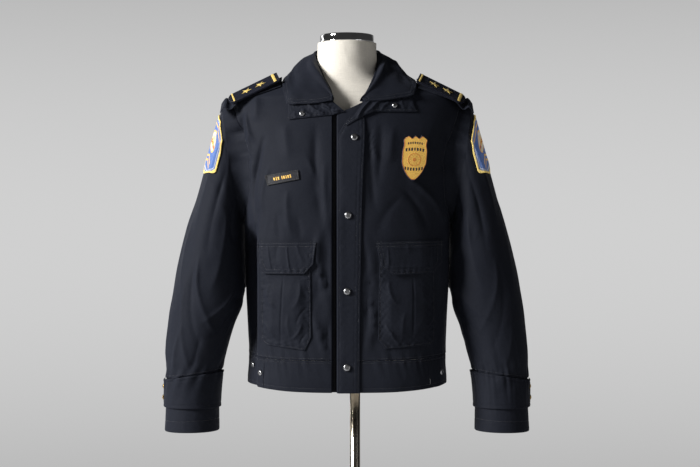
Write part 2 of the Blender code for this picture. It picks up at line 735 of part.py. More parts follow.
def snap_mesh(name, radius, height, steps):
    # A domed cap, turned round its axis.
    work = bmesh.new()
    outline = [(0, height), (0.55 * radius, 0.88 * height), (0.86 * radius, 0.55 * height)]
    outline += [(radius, 0.25 * height), (radius, 0), (0, 0)]
    corners = [work.verts.new((x, 0, z)) for x, z in outline]
    for a, b in zip(corners, corners[1:]):
        work.edges.new((a, b))
    bmesh.ops.spin(
        work, geom=work.verts[:] + work.edges[:], axis=(0, 0, 1), cent=(0, 0, 0),
        steps=steps, angle=math.tau,
    )
    bmesh.ops.remove_doubles(work, verts=work.verts[:], dist=0.00001)
    bmesh.ops.recalc_face_normals(work, faces=work.faces[:])
    mesh = bpy.data.meshes.new(name)
    work.to_mesh(mesh)
    work.free()
    mesh.shade_smooth()
    return mesh


def put_on_front(maker, name, mesh, material, x, z, lift):
    thing = maker.add(name, mesh, material)
    normal = ring_normal(BODY, ring(BODY, theta_at(x, z), z))
    thing.matrix_local = surface_turn(front_point(x, z, lift), normal)
    return thing


HEM_SNAP_LIFT = 0.0003
PLACKET_SNAPS = ((0.0144, 1.3874), (0.0023, 1.2379), (0.0003, 1.0921), (0.0000, 0.9459))
SMALL_SNAPS = (
    ("lapel_snap_right", -0.0862, 1.4340, LAPEL_LIFT_RIGHT + LAY_GAP),
    ("lapel_snap_left", 0.0920, 1.4500, LAPEL_LIFT_LEFT + LAY_GAP),
    ("hem_snap_right_1", -0.1680, 0.9330, HEM_SNAP_LIFT),
    ("hem_snap_right_2", -0.1850, 0.9450, HEM_SNAP_LIFT),
    ("hem_snap_left", 0.1840, 0.9330, HEM_SNAP_LIFT),
)


def make_front_trim(maker):
    lay = LAY_GAP + TRIM_WALL
    placket = outline_levels(PLACKET_OUTLINE, 4)
    rows = laid_rows(placket, 4, lambda x, z: LAY_GAP + PLACKET_WALL)
    maker.sheet("placket", rows, PLACKET_WALL)
    for word, pocket, flap in (
        ("right", POCKET_RIGHT_OUTLINE, FLAP_RIGHT_OUTLINE),
        ("left", POCKET_LEFT_OUTLINE, FLAP_LEFT_OUTLINE),
    ):
        maker.sheet("pocket_" + word, laid_rows(outline_levels(pocket, 3), 9, pocket_lift(pocket)), TRIM_WALL)
        rows = laid_rows(outline_levels(flap, 2), 10, lambda x, z: 2 * lay)
        maker.sheet("flap_" + word, rows, TRIM_WALL)
    rows = laid_rows(outline_levels(NAME_TAG_OUTLINE, 2), 5, lambda x, z: lay)
    maker.sheet("name_tag", rows, TRIM_WALL, maker.gold)
    half_width = curve_through(BADGE_COLUMNS, BADGE_PROFILE, "half_width")
    levels = []
    for share in shares(11):
        x = BADGE_CENTRE[0] + BADGE_LEAN * (share - 0.5) * BADGE_HEIGHT
        z = BADGE_CENTRE[1] + (share - 0.5) * BADGE_HEIGHT
        levels.append((x - half_width(share), z, x + half_width(share), z))
    maker.sheet("chest_badge", laid_rows(levels, 6, lambda x, z: lay), TRIM_WALL, maker.gold)
    rows = lapel_rows(LAPEL_RIGHT_BOTTOM, LAPEL_RIGHT_TOP, lambda x: LAPEL_LIFT_RIGHT)
    maker.sheet("lapel_right", rows, TRIM_WALL)
    maker.sheet("lapel_left", lapel_rows(LAPEL_LEFT_BOTTOM, LAPEL_LEFT_TOP, lapel_left_lift), TRIM_WALL)

    snap = snap_mesh("snap", SNAP_RADIUS, SNAP_HEIGHT, 12)
    lift = LAY_GAP + PLACKET_WALL + LAY_GAP
    for i, (x, z) in enumerate(PLACKET_SNAPS):
        put_on_front(maker, "placket_snap_%d" % (i + 1), snap, maker.nickel, x, z, lift)
    small = snap_mesh("small_snap", SMALL_SNAP_RADIUS, SMALL_SNAP_HEIGHT, 10)
    for name, x, z, lift in SMALL_SNAPS:
        put_on_front(maker, name, small, maker.nickel, x, z, lift)


# Collar: one row for each place round the neck, from the front end to the middle of the back.
# roll is the folded top edge, edge is the free edge of the fall, foot is the seam's angle on the neckline.

COLLAR_COLUMNS = ("roll_x", "roll_y", "roll_z", "edge_x", "edge_y", "edge_z", "foot")
COLLAR_RIGHT = (
    (0.0260, -0.0860, 1.4680, 0.0262, -0.1000, 1.4590, 8),
    (0.0335, -0.0750, 1.4870, 0.0620, -0.1050, 1.4550, 13),
    (0.0450, -0.0590, 1.5080, 0.0930, -0.0980, 1.4525, 20),
    (0.0545, -0.0380, 1.5300, 0.1165, -0.0910, 1.4525, 32),
    (0.0620, -0.0180, 1.5480, 0.1225, -0.0500, 1.4880, 50),
    (0.0665, 0.0040, 1.5620, 0.1235, -0.0050, 1.5130, 75),
    (0.0640, 0.0280, 1.5710, 0.1120, 0.0400, 1.5100, 100),
    (0.0540, 0.0480, 1.5750, 0.0880, 0.0720, 1.5080, 123),
    (0.0300, 0.0660, 1.5770, 0.0480, 0.0920, 1.5080, 150),
    (0.0000, 0.0720, 1.5775, 0.0000, 0.0980, 1.5080, 180),
)
COLLAR_LEFT = (
    (0.0255, -0.0880, 1.4640, 0.0330, -0.1010, 1.4580, 8),
    (0.0390, -0.0730, 1.4790, 0.0700, -0.1030, 1.4610, 13),
    (0.0490, -0.0570, 1.4960, 0.1040, -0.0940, 1.4660, 20),
    (0.0560, -0.0360, 1.5200, 0.1300, -0.0820, 1.4710, 32),
    (0.0615, -0.0160, 1.5440, 0.1345, -0.0450, 1.4900, 50),
    (0.0670, 0.0060, 1.5620, 0.1320, -0.0050, 1.5080, 75),
    (0.0640, 0.0280, 1.5710, 0.1160, 0.0400, 1.5080, 100),
    (0.0540, 0.0480, 1.5750, 0.0900, 0.0720, 1.5080, 123),
    (0.0300, 0.0660, 1.5770, 0.0480, 0.0920, 1.5080, 150),
    (0.0000, 0.0720, 1.5775, 0.0000, 0.0980, 1.5080, 180),
)
COLLAR_WALL = 0.0018
COLLAR_CLEAR_FRONT = 0.0085     # the fall's outer side above the chest, over the lapels
COLLAR_CLEAR_BACK = 0.0045
COLLAR_CLEAR_FORM = 0.0030
COLLAR_ROLL = 0.0035            # half the thickness of the rolled edge
COLLAR_BULGE = 0.0060
COLLAR_FALL_STEPS = 5
FOOT_SEAT = 0.0026              # between the stand and the inside of the panels
FOOT_DEPTH = 0.0012             # the stand reaches this far below the neckline, inside
STRAP_FRONT_TURN = -0.20
STRAP_BACK_TURN = 5.86
STRAP_END_ALONG = 0.941
STRAP_END_LIFT = 0.0016         # its pointed end stands off the sleeve
CUFF_BUTTONS_ALONG = (0.891, 0.918)
CUFF_BUTTON_TURN = -0.08
PATCH_ALONG = (0.028, 0.196)
PATCH_HALF_ANGLE = 0.62
PATCH_MIDDLE_ANGLE = 0.23


def neckline_height(theta, side):
    # The height of the panels' top edge at an angle from the front, 0 to pi.
    if theta > math.pi / 2:
        s = (math.pi - theta) / (math.pi / 2)
        return mix(NECK_BACK_HEIGHT, NECK_SIDE_HEIGHT, s * s)
    start = side * theta_at(FRONT_EDGE_RIGHT if side < 0 else ZIP_EDGE, NECK_FRONT_HEIGHT)
    s = max(theta - start, 0.0) / (math.pi / 2 - start)
    return mix(NECK_FRONT_HEIGHT, NECK_SIDE_HEIGHT, 1 - (1 - s) ** NECKLINE_BEND)


def clear_of(sections, point, clearance):
    # Moves a point out until it is this far from a surface.
    for _ in range(4):
        step = 0.0005
        normal = ring_normal(sections, point)
        here = ring_level(sections, *point)
        there = ring_level(sections, *(point + normal * step))
        distance = (here - 1) * step / (there - here)
        if distance >= clearance:
            break
        point = point + normal * (clearance - distance)
    return point


def collar_profile(row, side):
    # From the free edge up over the roll and down to the seam.
    roll = Vector((row["roll_x"], row["roll_y"], row["roll_z"]))
    edge = Vector((row["edge_x"], row["edge_y"], row["edge_z"]))
    out = Vector((roll.x, roll.y, 0)).normalized()
    down = Vector((0, 0, -COLLAR_ROLL))
    fall_top = roll + out * COLLAR_ROLL + down
    stand_top = roll - out * COLLAR_ROLL + down
    theta = math.radians(row["foot"])
    foot = ring(BODY, theta, neckline_height(theta, side) - FOOT_DEPTH)
    foot = foot - ring_normal(BODY, foot) * (WALL + COLLAR_WALL + FOOT_SEAT)
    lean = (out * 0.8 + Vector((0, 0, 0.6))).normalized()
    length = (edge - fall_top).length
    points = []
    for s in shares(COLLAR_FALL_STEPS + 1):
        point = edge.lerp(fall_top, s) + lean * COLLAR_BULGE * 4 * s * (1 - s) * min(length / 0.06, 1.0)
        clearance = mix(COLLAR_CLEAR_FRONT, COLLAR_CLEAR_BACK, smooth((point.z - 1.470) / 0.02))
        points.append(clear_of(BODY, point, clearance))
    for point in (roll, stand_top, stand_top.lerp(foot, 0.5), foot):
        points.append(clear_of(FORM, point, COLLAR_CLEAR_FORM))
    return [Vector((side * p.x, p.y, p.z)) for p in points]


def make_collar(maker):
    right = [collar_profile(row, -1) for row in named_rows(COLLAR_COLUMNS, COLLAR_RIGHT)]
    left = [collar_profile(row, 1) for row in named_rows(COLLAR_COLUMNS, COLLAR_LEFT)]
    around = finer(right + left[-2::-1])
    # Rows run from the free edge to the foot, columns from the right front round the back.
    rows = [list(row) for row in zip(*around)]
    maker.sheet("collar", rows, COLLAR_WALL, flip=True)


def finer(stations):
    # A smooth curve through the stations, with one more between each two.
    result = []
    last = len(stations) - 1
    for i in range(last):
        before, after = stations[max(i - 1, 0)], stations[min(i + 2, last)]
        result.append(stations[i])
        middle = []
        for a, b, c, d in zip(before, stations[i], stations[i + 1], after):
            middle.append((b + c) * 0.5625 - (a + d) * 0.0625)
        result.append(middle)
    result.append(stations[-1])
    return result


def make_cuff_trim(maker, side, word):
    flip = side < 0
    rows = []
    lay = LAY_GAP + TRIM_WALL
    for share in shares(3):
        row = []
        for turn in shares(24, STRAP_FRONT_TURN, STRAP_BACK_TURN):
            along = mix(cuff_seam_along(turn) + 0.002, STRAP_END_ALONG, share)
            stand_off = STRAP_END_LIFT * smooth((0.25 - turn) / 0.4)
            row.append(sleeve_point(side, along, turn, lay + stand_off))
        rows.append(row)
    maker.sheet("cuff_strap_" + word, rows, TRIM_WALL, flip=flip)
    button = snap_mesh("cuff_button", CUFF_BUTTON_RADIUS, CUFF_BUTTON_HEIGHT, 10)
    for i, along in enumerate(CUFF_BUTTONS_ALONG):
        point = sleeve_point(side, along, CUFF_BUTTON_TURN, lay + STRAP_END_LIFT)
        normal = (point - sleeve_point(side, along, CUFF_BUTTON_TURN, 0)).normalized()
        thing = maker.add("cuff_button_%s_%d" % (word, i + 1), button, maker.brass)
        thing.matrix_local = surface_turn(point, normal)
    # The shoulder patch: level by level, its half width as an angle round the sleeve.
    rows = []
    for share in shares(10):
        rounded = min(smooth(share / 0.42) ** 0.5, 1.0) * (1 - 0.10 * smooth((share - 0.75) / 0.25))
        half = PATCH_HALF_ANGLE * rounded + 0.01
        along = mix(PATCH_ALONG[1], PATCH_ALONG[0], share)
        ends = (PATCH_MIDDLE_ANGLE - 0.01 - half, PATCH_MIDDLE_ANGLE + half)
        rows.append([sleeve_point(side, along, turn, lay) for turn in shares(8, *ends)])
    maker.sheet("shoulder_patch_" + word, rows, TRIM_WALL, maker.gold, flip=not flip)


# Shoulder straps and boards lie on a plane that leans forward over the shoulder.

STRAP_LEAN = math.radians(28)
STRAP_MIDDLE_Y = -0.040
STRAP_HALF_WIDTH = 0.023
STRAP_CLEARANCE = 0.0018
BOARD_END = 0.2330
BOARD_THICKNESS = 0.0034
BOARD_HALF_WIDTH = 0.0245
BOARD_ROUNDING = 0.012
STRAP_STRAIGHT_END = 0.2285     # beyond it the strap bends down to the armhole seam
STRAP_BEND = ((0.2400, 1.4620), (0.2500, 1.4500))
BAR_THICKNESS = 0.0008
BAR_HALF_LENGTH = 0.0225
STAR_THICKNESS = 0.0012
STAR_RADIUS = 0.0080
ACROSS = Vector((0, -math.cos(STRAP_LEAN), -math.sin(STRAP_LEAN)))


def strap_height(x):
    # How high the strap's middle line runs so that its whole width clears the shoulder.
    highest = 0.0
    for v in shares(9, -STRAP_HALF_WIDTH, STRAP_HALF_WIDTH):
        under = top_height(x, STRAP_MIDDLE_Y + v * ACROSS.y)
        highest = max(highest, under - v * ACROSS.z)
    return highest + STRAP_CLEARANCE


def prism(maker, name, outline, thickness, material):
    # A flat outline with half its thickness on each side.
    flat = bpy.data.curves.new(name, "CURVE")
    flat.dimensions = "2D"
    flat.fill_mode = "BOTH"
    flat.extrude = thickness / 2
    spline = flat.splines.new("POLY")
    spline.points.add(len(outline) - 1)
    for point, (x, y) in zip(spline.points, outline):
        point.co = (x, y, 0, 1)
    spline.use_cyclic_u = True
    return maker.add(name, flat, material)


def star_outline(radius):
    points = []
    for i in range(10):
        r = radius if i % 2 == 0 else radius * 0.42
        turn = math.pi / 2 + i * math.pi / 5
        points.append((r * math.cos(turn), r * math.sin(turn)))
    return points


def bar_outline(half_length, half_width):
    right = [(half_length, -half_width), (half_length, half_width)]
    return right + [(-half_length, half_width), (-half_length, -half_width)]


SHOULDER_COLUMNS = (
    "word", "side", "strap_start", "board_start",
    "inner_bar", "inner_half", "outer_bar", "outer_half", "star_1", "star_2",
)
SHOULDER_TRIM = (
    ("right", -1, 0.1290, 0.1345, 0.1430, 0.0030, 0.2230, 0.0017, 0.1700, 0.1970),
    ("left", 1, 0.1385, 0.1400, 0.1450, 0.0017, 0.2220, 0.0030, 0.1710, 0.1970),
)


def make_shoulder(maker, trim):
    word, side = trim["word"], trim["side"]
    straight = shares(8, trim["strap_start"], STRAP_STRAIGHT_END)
    line = [(x, strap_height(x) + TRIM_WALL) for x in straight] + list(STRAP_BEND)
    rows = []
    for v in shares(3, -STRAP_HALF_WIDTH, STRAP_HALF_WIDTH):
        rows.append([Vector((side * x, STRAP_MIDDLE_Y, z)) + ACROSS * v for x, z in line])
    maker.sheet("epaulet_" + word, rows, TRIM_WALL, flip=side > 0)

    # The board is straight, so its line clears every point of the strap below it.
    bottom_start, bottom_end = line[1][1], strap_height(STRAP_STRAIGHT_END) + TRIM_WALL
    slope = (bottom_end - bottom_start) / (STRAP_STRAIGHT_END - line[1][0])
    raise_by = max(z - (bottom_start + slope * (x - line[1][0])) for x, z in line[:-2])
    along = Vector((side, 0, slope)).normalized()
    normal = along.cross(ACROSS) * -side
    normal.normalize()
    back = normal.cross(along)
    turn = Matrix((along, back, normal)).transposed().to_4x4()

    def on_board(x, lift):
        height = bottom_start + slope * (x - line[1][0]) + raise_by + LAY_GAP
        return Vector((side * x, STRAP_MIDDLE_Y, height)) + normal * lift

    half = (BOARD_END - trim["board_start"]) / 2 * math.hypot(1, slope)
    round_end = []
    for a in shares(7, -math.pi / 2, math.pi / 2):
        round_end.append((half - BOARD_ROUNDING * (1 - math.cos(a)), BOARD_HALF_WIDTH * math.sin(a)))
    outline = [(-half, -BOARD_HALF_WIDTH)] + round_end + [(-half, BOARD_HALF_WIDTH)]
    board = prism(maker, "board_" + word, outline, BOARD_THICKNESS, maker.shell)
    middle = on_board((trim["board_start"] + BOARD_END) / 2, BOARD_THICKNESS / 2)
    board.matrix_local = Matrix.Translation(middle) @ turn
    face = BOARD_THICKNESS + SEAM_GAP
    for place, half_length in (("inner", trim["inner_half"]), ("outer", trim["outer_half"])):
        outline = bar_outline(half_length, BAR_HALF_LENGTH)
        bar = prism(maker, "bar_%s_%s" % (word, place), outline, BAR_THICKNESS, maker.gold)
        point = on_board(trim[place + "_bar"], face + BAR_THICKNESS / 2)
        bar.matrix_local = Matrix.Translation(point) @ turn
    for i in (1, 2):
        star = prism(maker, "star_%s_%d" % (word, i), star_outline(STAR_RADIUS), STAR_THICKNESS, maker.brass)
        point = on_board(trim["star_%d" % i], face + STAR_THICKNESS / 2)
        star.matrix_local = Matrix.Translation(point) @ turn


# Dress form and stand

def closed_loft(name, rows):
    # Rings from the bottom to the top, each end closed by one flat face.
    work = bmesh.new()
    grid = [[work.verts.new(point) for point in row] for row in rows]
    count = len(rows[0])
    for lower, upper in zip(grid, grid[1:]):
        for i in range(count):
            j = (i + 1) % count
            work.faces.new((lower[i], lower[j], upper[j], upper[i]))
    work.faces.new(grid[0][::-1])
    work.faces.new(grid[-1])
    mesh = bpy.data.meshes.new(name)
    work.to_mesh(mesh)
    work.free()
    mesh.shade_smooth()
    return mesh


def cylinder(name, radius, height, sides):
    work = bmesh.new()
    bmesh.ops.create_cone(
        work, cap_ends=True, segments=sides, radius1=radius, radius2=radius, depth=height,
        matrix=Matrix.Translation((0, 0, height / 2)),
    )
    mesh = bpy.data.meshes.new(name)
    work.to_mesh(mesh)
    work.free()
    return mesh


def make_form(maker):
    turns = [i * math.tau / 24 for i in range(24)]
    rows = [[ring(FORM, turn, row[0]) for turn in turns] for row in FORM_SECTIONS]
    maker.add("form_torso", closed_loft("form_torso", rows), maker.linen)
    top = FORM_SECTIONS[-1][0] + SEAM_GAP
    cap = maker.add("neck_cap", cylinder("neck_cap", NECK_CAP_RADIUS, TOTAL_HEIGHT - top, 28), maker.chrome)
    cap.location.z = top
    rounding = cap.modifiers.new("rounding", "BEVEL")
    rounding.width = 0.002
    rounding.segments = 1
    base = maker.add("base", cylinder("base", BASE_RADIUS, BASE_THICKNESS, 36), maker.steel, on_form=False)
    rim = base.modifiers.new("rim", "BEVEL")
    rim.width = 0.003
    rim.segments = 1
    bottom = BASE_THICKNESS + SEAM_GAP
    height = FORM_SECTIONS[0][0] - SEAM_GAP - bottom
    pole = maker.add("pole", cylinder("pole", POLE_RADIUS, height, 20), maker.nickel, on_form=False)
    pole.location.z = bottom


def main():
    for thing in list(bpy.data.objects):
        bpy.data.objects.remove(thing, do_unlink=True)
    maker = Maker()
    make_body(maker)
    make_front_trim(maker)
    make_collar(maker)
    for side, word in ((-1, "right"), (1, "left")):
        make_sleeve(maker, side, word)
        make_cuff_trim(maker, side, word)
    for trim in named_rows(SHOULDER_COLUMNS, SHOULDER_TRIM):
        make_shoulder(maker, trim)
    make_form(maker)


main()
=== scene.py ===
import math

import bmesh
import bpy
import numpy as np
from mathutils import Matrix, Vector


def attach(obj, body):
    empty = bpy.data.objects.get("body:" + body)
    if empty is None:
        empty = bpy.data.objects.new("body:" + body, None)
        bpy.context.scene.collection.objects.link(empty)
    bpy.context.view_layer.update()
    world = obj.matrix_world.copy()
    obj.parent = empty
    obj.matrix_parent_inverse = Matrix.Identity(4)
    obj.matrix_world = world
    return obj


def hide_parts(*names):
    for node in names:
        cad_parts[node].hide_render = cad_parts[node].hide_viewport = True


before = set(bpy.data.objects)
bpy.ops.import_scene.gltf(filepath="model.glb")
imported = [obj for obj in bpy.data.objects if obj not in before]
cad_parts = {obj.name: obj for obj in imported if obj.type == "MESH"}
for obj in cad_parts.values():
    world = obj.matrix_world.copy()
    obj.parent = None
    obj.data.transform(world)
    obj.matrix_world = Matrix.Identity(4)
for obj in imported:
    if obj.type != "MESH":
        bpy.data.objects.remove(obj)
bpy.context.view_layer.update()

# What a user may want to change, piece by piece
cloth = {
    "wall": 0.0020, "trimWall": 0.0016, "seamGap": 0.0003, "layGap": 0.0007,
    "step": 0.0030, "trimStep": 0.0013, "edgeRoll": 0.0016,
    "colour": (0.0118, 0.0134, 0.0196), "worn": (0.0200, 0.0222, 0.0300), "roughness": 0.62,
    "weave": 1500.0, "crumple": 0.0011,
}
thread = {"colour": (0.016, 0.018, 0.028), "length": 0.0028, "pitch": 0.0034, "radius": 0.00028}
body = {
    "offsetX": -0.016, "hem": 0.897, "hemRise": 0.012, "bandSeam": 0.958, "bandRise": 0.007,
    "underarm": 1.234, "shoulder": 1.470, "neckFront": 1.434, "neckSide": 1.536, "neckBack": 1.541,
    "armholeFront": math.radians(28), "armholeBack": math.radians(25), "armholeRound": 0.7,
    "edgeRight": -0.0285, "zipEdge": -0.0192, "bandSide": 0.160, "bandGap": 0.004, "necklineBend": 2.2,
    "sideFall": 0.55, "sideShare": 0.40, "armShare": 0.77, "zipRise": 0.012,
}
sleeve = {
    "shrink": 0.9930, "flat": 0.004, "length": 0.66, "girth": 0.072, "cuffSeam": 0.862, "tilt": 0.012,
    "strapTurns": (-0.20, 5.86), "strapEnd": 0.941, "strapLift": 0.0016,
    "buttons": (0.891, 0.918), "buttonTurn": 0.10, "patchAlong": (0.028, 0.196),
    "patchHalf": 0.62, "patchMiddle": 0.48,
}
placket = {"wall": 0.0024, "snaps": ((0.0144, 1.3874), (0.0023, 1.2379), (0.0003, 1.0921), (0.0, 0.9459))}
snap = {"radius": 0.0072, "height": 0.0040, "small": 0.0056, "smallHeight": 0.0034}
collar = {
    "wall": 0.0018, "clearFront": 0.0085, "clearBack": 0.0045, "clearForm": 0.0030,
    "roll": 0.0035, "bulge": 0.0080, "footSeat": 0.0026, "footDepth": 0.0012,
}
shoulder = {
    "lean": math.radians(28), "middleY": -0.040, "halfWidth": 0.023, "clearance": 0.0018,
    "straightEnd": 0.2285, "bend": ((0.2400, 1.4620), (0.2500, 1.4500)), "boardEnd": 0.2330,
    "boardThickness": 0.0034, "boardHalf": 0.0245, "rounding": 0.012, "starRadius": 0.0116,
}
badge = {"centre": (0.1294, 1.347), "height": 0.085, "lean": 0.08}
form = {
    "colour": (0.80, 0.75, 0.66), "capRadius": 0.0547, "bottom": 0.925, "neckTop": 1.5825, "top": 1.600,
    "pole": 0.0104, "baseRadius": 0.190, "baseThickness": 0.012,
}
studio = {
    "eye": (-0.010, -3.2, 1.203), "lens": 82.3, "horizon": 0.63, "fall": 6.5, "ceiling": 0.12, "sides": 0.30,
    "floor": (0.60, 0.60, 0.61), "floorRadius": 4.8,
}
bodyShift = np.array([body["offsetX"], 0, 0])
trimLay = cloth["layGap"] + cloth["trimWall"]
lamps = {
    "keySoftbox": {"at": (-3.4, -1.65, 2.7), "target": (0.0, 0.0, 1.2), "size": (1.2, 1.2), "power": 285.0},
    "fillCard": {"at": (2.6, -2.2, 1.5), "target": (0.0, 0.0, 1.2), "size": (1.6, 1.8), "power": 9.0},
    "rimStrip": {"at": (-2.0, 2.0, 2.2), "target": (0.0, 0.0, 1.3), "size": (0.6, 1.8), "power": 10.0},
}
embroidery = {
    "gold": (0.98, 0.58, 0.12), "yellow": (0.98, 0.72, 0.20), "navy": (0.010, 0.012, 0.030),
    "blue": (0.085, 0.17, 0.46), "white": (0.72, 0.70, 0.64), "red": (0.42, 0.035, 0.03),
    "orange": (0.70, 0.26, 0.05), "tagCloth": (0.010, 0.010, 0.014), "tagEdge": (0.004, 0.004, 0.005),
}

sectionColumns = ("height", "halfWidth", "front", "back", "square")
bodySections = (
    (0.860, 0.1978, 0.131, 0.120, 3.0),
    (0.915, 0.1978, 0.133, 0.121, 3.0),
    (0.955, 0.1956, 0.131, 0.119, 3.0),
    (1.000, 0.1968, 0.130, 0.117, 3.0),
    (1.085, 0.2008, 0.130, 0.116, 3.0),
    (1.160, 0.2030, 0.133, 0.120, 2.9),
    (1.234, 0.2045, 0.136, 0.127, 2.7),
    (1.300, 0.2075, 0.135, 0.132, 2.5),
    (1.345, 0.2145, 0.130, 0.133, 2.35),
    (1.385, 0.2245, 0.121, 0.130, 2.25),
    (1.430, 0.2345, 0.108, 0.122, 2.15),
    (1.450, 0.2355, 0.101, 0.116, 2.1),
    (1.470, 0.2320, 0.093, 0.109, 2.0),
    (1.486, 0.1900, 0.086, 0.100, 2.0),
    (1.501, 0.1460, 0.079, 0.091, 2.0),
    (1.516, 0.1080, 0.072, 0.082, 2.0),
    (1.528, 0.0880, 0.068, 0.076, 2.0),
    (1.540, 0.0745, 0.066, 0.072, 2.0),
    (1.556, 0.0680, 0.064, 0.070, 2.0),
)
formSections = (
    (0.925, 0.140, 0.090, 0.080, 2.0),
    (0.932, 0.158, 0.100, 0.090, 2.0),
    (1.050, 0.170, 0.106, 0.094, 2.1),
    (1.160, 0.178, 0.112, 0.100, 2.2),
    (1.250, 0.182, 0.114, 0.107, 2.2),
    (1.330, 0.184, 0.109, 0.111, 2.2),
    (1.390, 0.186, 0.098, 0.107, 2.1),
    (1.430, 0.190, 0.088, 0.098, 2.0),
    (1.455, 0.190, 0.080, 0.090, 2.0),
    (1.470, 0.175, 0.0745, 0.084, 2.0),
    (1.480, 0.152, 0.0710, 0.078, 2.0),
    (1.490, 0.126, 0.0670, 0.073, 2.0),
    (1.500, 0.102, 0.0625, 0.067, 2.0),
    (1.510, 0.082, 0.0605, 0.062, 2.0),
    (1.522, 0.067, 0.0592, 0.0597, 2.0),
    (1.536, 0.0600, 0.0586, 0.0587, 2.0),
    (1.5825, 0.0588, 0.0588, 0.0588, 2.0),
)

# Creases seen from the front or the back, in millimetres: a line from (x0, z0) to (x1, z1), how far its
# middle bows, the width of its roll, its depth, below zero for a trough, and last how sharp it is.
frontCreases = (
    (-176, 1468, -178, 1425, 0, 12.5, 4.5, 0.6),
    (-207, 1430, -190, 1350, 9, 8.5, -9.5, 0.8),
    (-196, 1436, -182, 1385, 4, 7, 5, 0.8),
    (-190, 1400, -186, 1350, 4, 8, 4.5, 0.8),
    (-186, 1345, -184, 1215, -4, 11, 3.8, 0.6),
    (-170, 1250, -176, 1200, 3, 9, -2, 0.5),
    (-60, 1400, -48, 1235, 6, 12, -5, 0.5),
    (-43, 1330, -34, 1200, 4, 7, 2.8, 0.7),
    (-75, 1345, -52, 1265, -4, 9, 2.4, 0.6),
    (-120, 1410, -112, 1350, 2, 13, 3, 0.3),
    (-115, 1280, -108, 1200, 3, 8.5, 3, 0.6),
    (-95, 1235, -88, 1190, 0, 6, -1.8, 0.6),
    (-135, 1240, -130, 1190, 0, 6.5, -1.6, 0.6),
    (-164, 1380, -179, 1240, 8, 6, -7, 0.5),
    (-150, 1330, -164, 1250, 5, 6, 2.6, 0.7),
    (-54, 1200, -46, 1105, 7, 6.2, 5.6, 0.7),
    (-50, 1120, -46, 1010, -9, 6.2, 5.8, 0.7),
    (-62, 1045, -40, 972, 2, 5.8, 4.6, 0.7),
    (-40, 1190, -36, 980, 3, 5.5, -6, 0.6),
    (-60, 1150, -58, 1075, -4, 5, -4, 0.7),
    (-36, 1180, -34, 985, 3, 4, 2.2, 0.6),
    (44, 1410, 52, 1260, 3, 8, -4, 0.6),
    (66, 1415, 60, 1300, -2, 8.5, -3, 0.5),
    (88, 1405, 82, 1340, 0, 10, 2.6, 0.4),
    (47, 1395, 58, 1345, 2, 5, 2.6, 0.8),
    (196, 1408, 186, 1330, -6, 9.5, -4.8, 0.8),
    (205, 1370, 192, 1300, -3, 9, 3.2, 0.6),
    (128, 1300, 188, 1222, -10, 11, 5.6, 0.7),
    (112, 1285, 156, 1212, -6, 10, -3.4, 0.5),
    (100, 1270, 60, 1205, 6, 10, -2, 0.4),
    (40, 1195, 48, 1095, -4, 5, 4, 0.7),
    (50, 1125, 40, 1040, 6, 5.2, -5, 0.7),
    (40, 1080, 52, 1000, -6, 5.2, 5.2, 0.7),
    (54, 1040, 40, 975, 3, 4.8, 4, 0.7),
    (36, 1180, 36, 985, 2, 4.5, -1.4, 0.6),
    (184, 1190, 188, 1010, 3, 8, 2.4, 0.6),
    (-170.5, 1210, -170, 985, 0, 4, 3.2, 0.9),
    (-187, 1225, -188, 965, 2, 11, -9, 0.3),
    (-150, 985, -138, 955, 0, 5, 1.6, 0.7),
    (-85, 980, -78, 955, 0, 5, 1.6, 0.7),
    (82, 982, 90, 955, 0, 5, -1.6, 0.7),
    (150, 985, 143, 955, 0, 5, 1.6, 0.7),
)
backCreases = (
    (-150, 1410, -168, 1290, 6, 13, 4.5, 0.5),
    (-178, 1400, -190, 1310, 5, 10, -4.5, 0.7),
    (-120, 1380, -150, 1270, 4, 11, -2.6, 0.5),
    (150, 1415, 170, 1285, -6, 13, 4.2, 0.5),
    (180, 1395, 192, 1300, -5, 10, -4.5, 0.7),
    (124, 1370, 140, 1260, -3, 10, -2.4, 0.5),
    (-50, 1200, -122, 1020, 10, 14, 4.5, 0.4),
    (-30, 1160, -90, 1000, 8, 11, -3, 0.5),
    (70, 1180, 118, 1000, -10, 14, 4.2, 0.4),
    (45, 1150, 80, 990, -6, 11, -2.8, 0.5),
    (5, 1130, -10, 985, 4, 12, -3.8, 0.4),
    (-115, 1265, -60, 1140, -8, 12, -3.2, 0.5),
    (110, 1250, 50, 1120, 8, 13, -3.2, 0.5),
    (-60, 1420, -45, 1330, 4, 12, 2.2, 0.3),
    (55, 1430, 52, 1345, -3, 12, 2, 0.3),
    (-35, 1080, -45, 972, 3, 8, 3.2, 0.6),
    (26, 1070, 20, 972, -3, 8, 3, 0.6),
    (150, 1110, 162, 975, -4, 10, 3.4, 0.5),
    (-155, 1120, -168, 975, 4, 10, 3, 0.5),
)
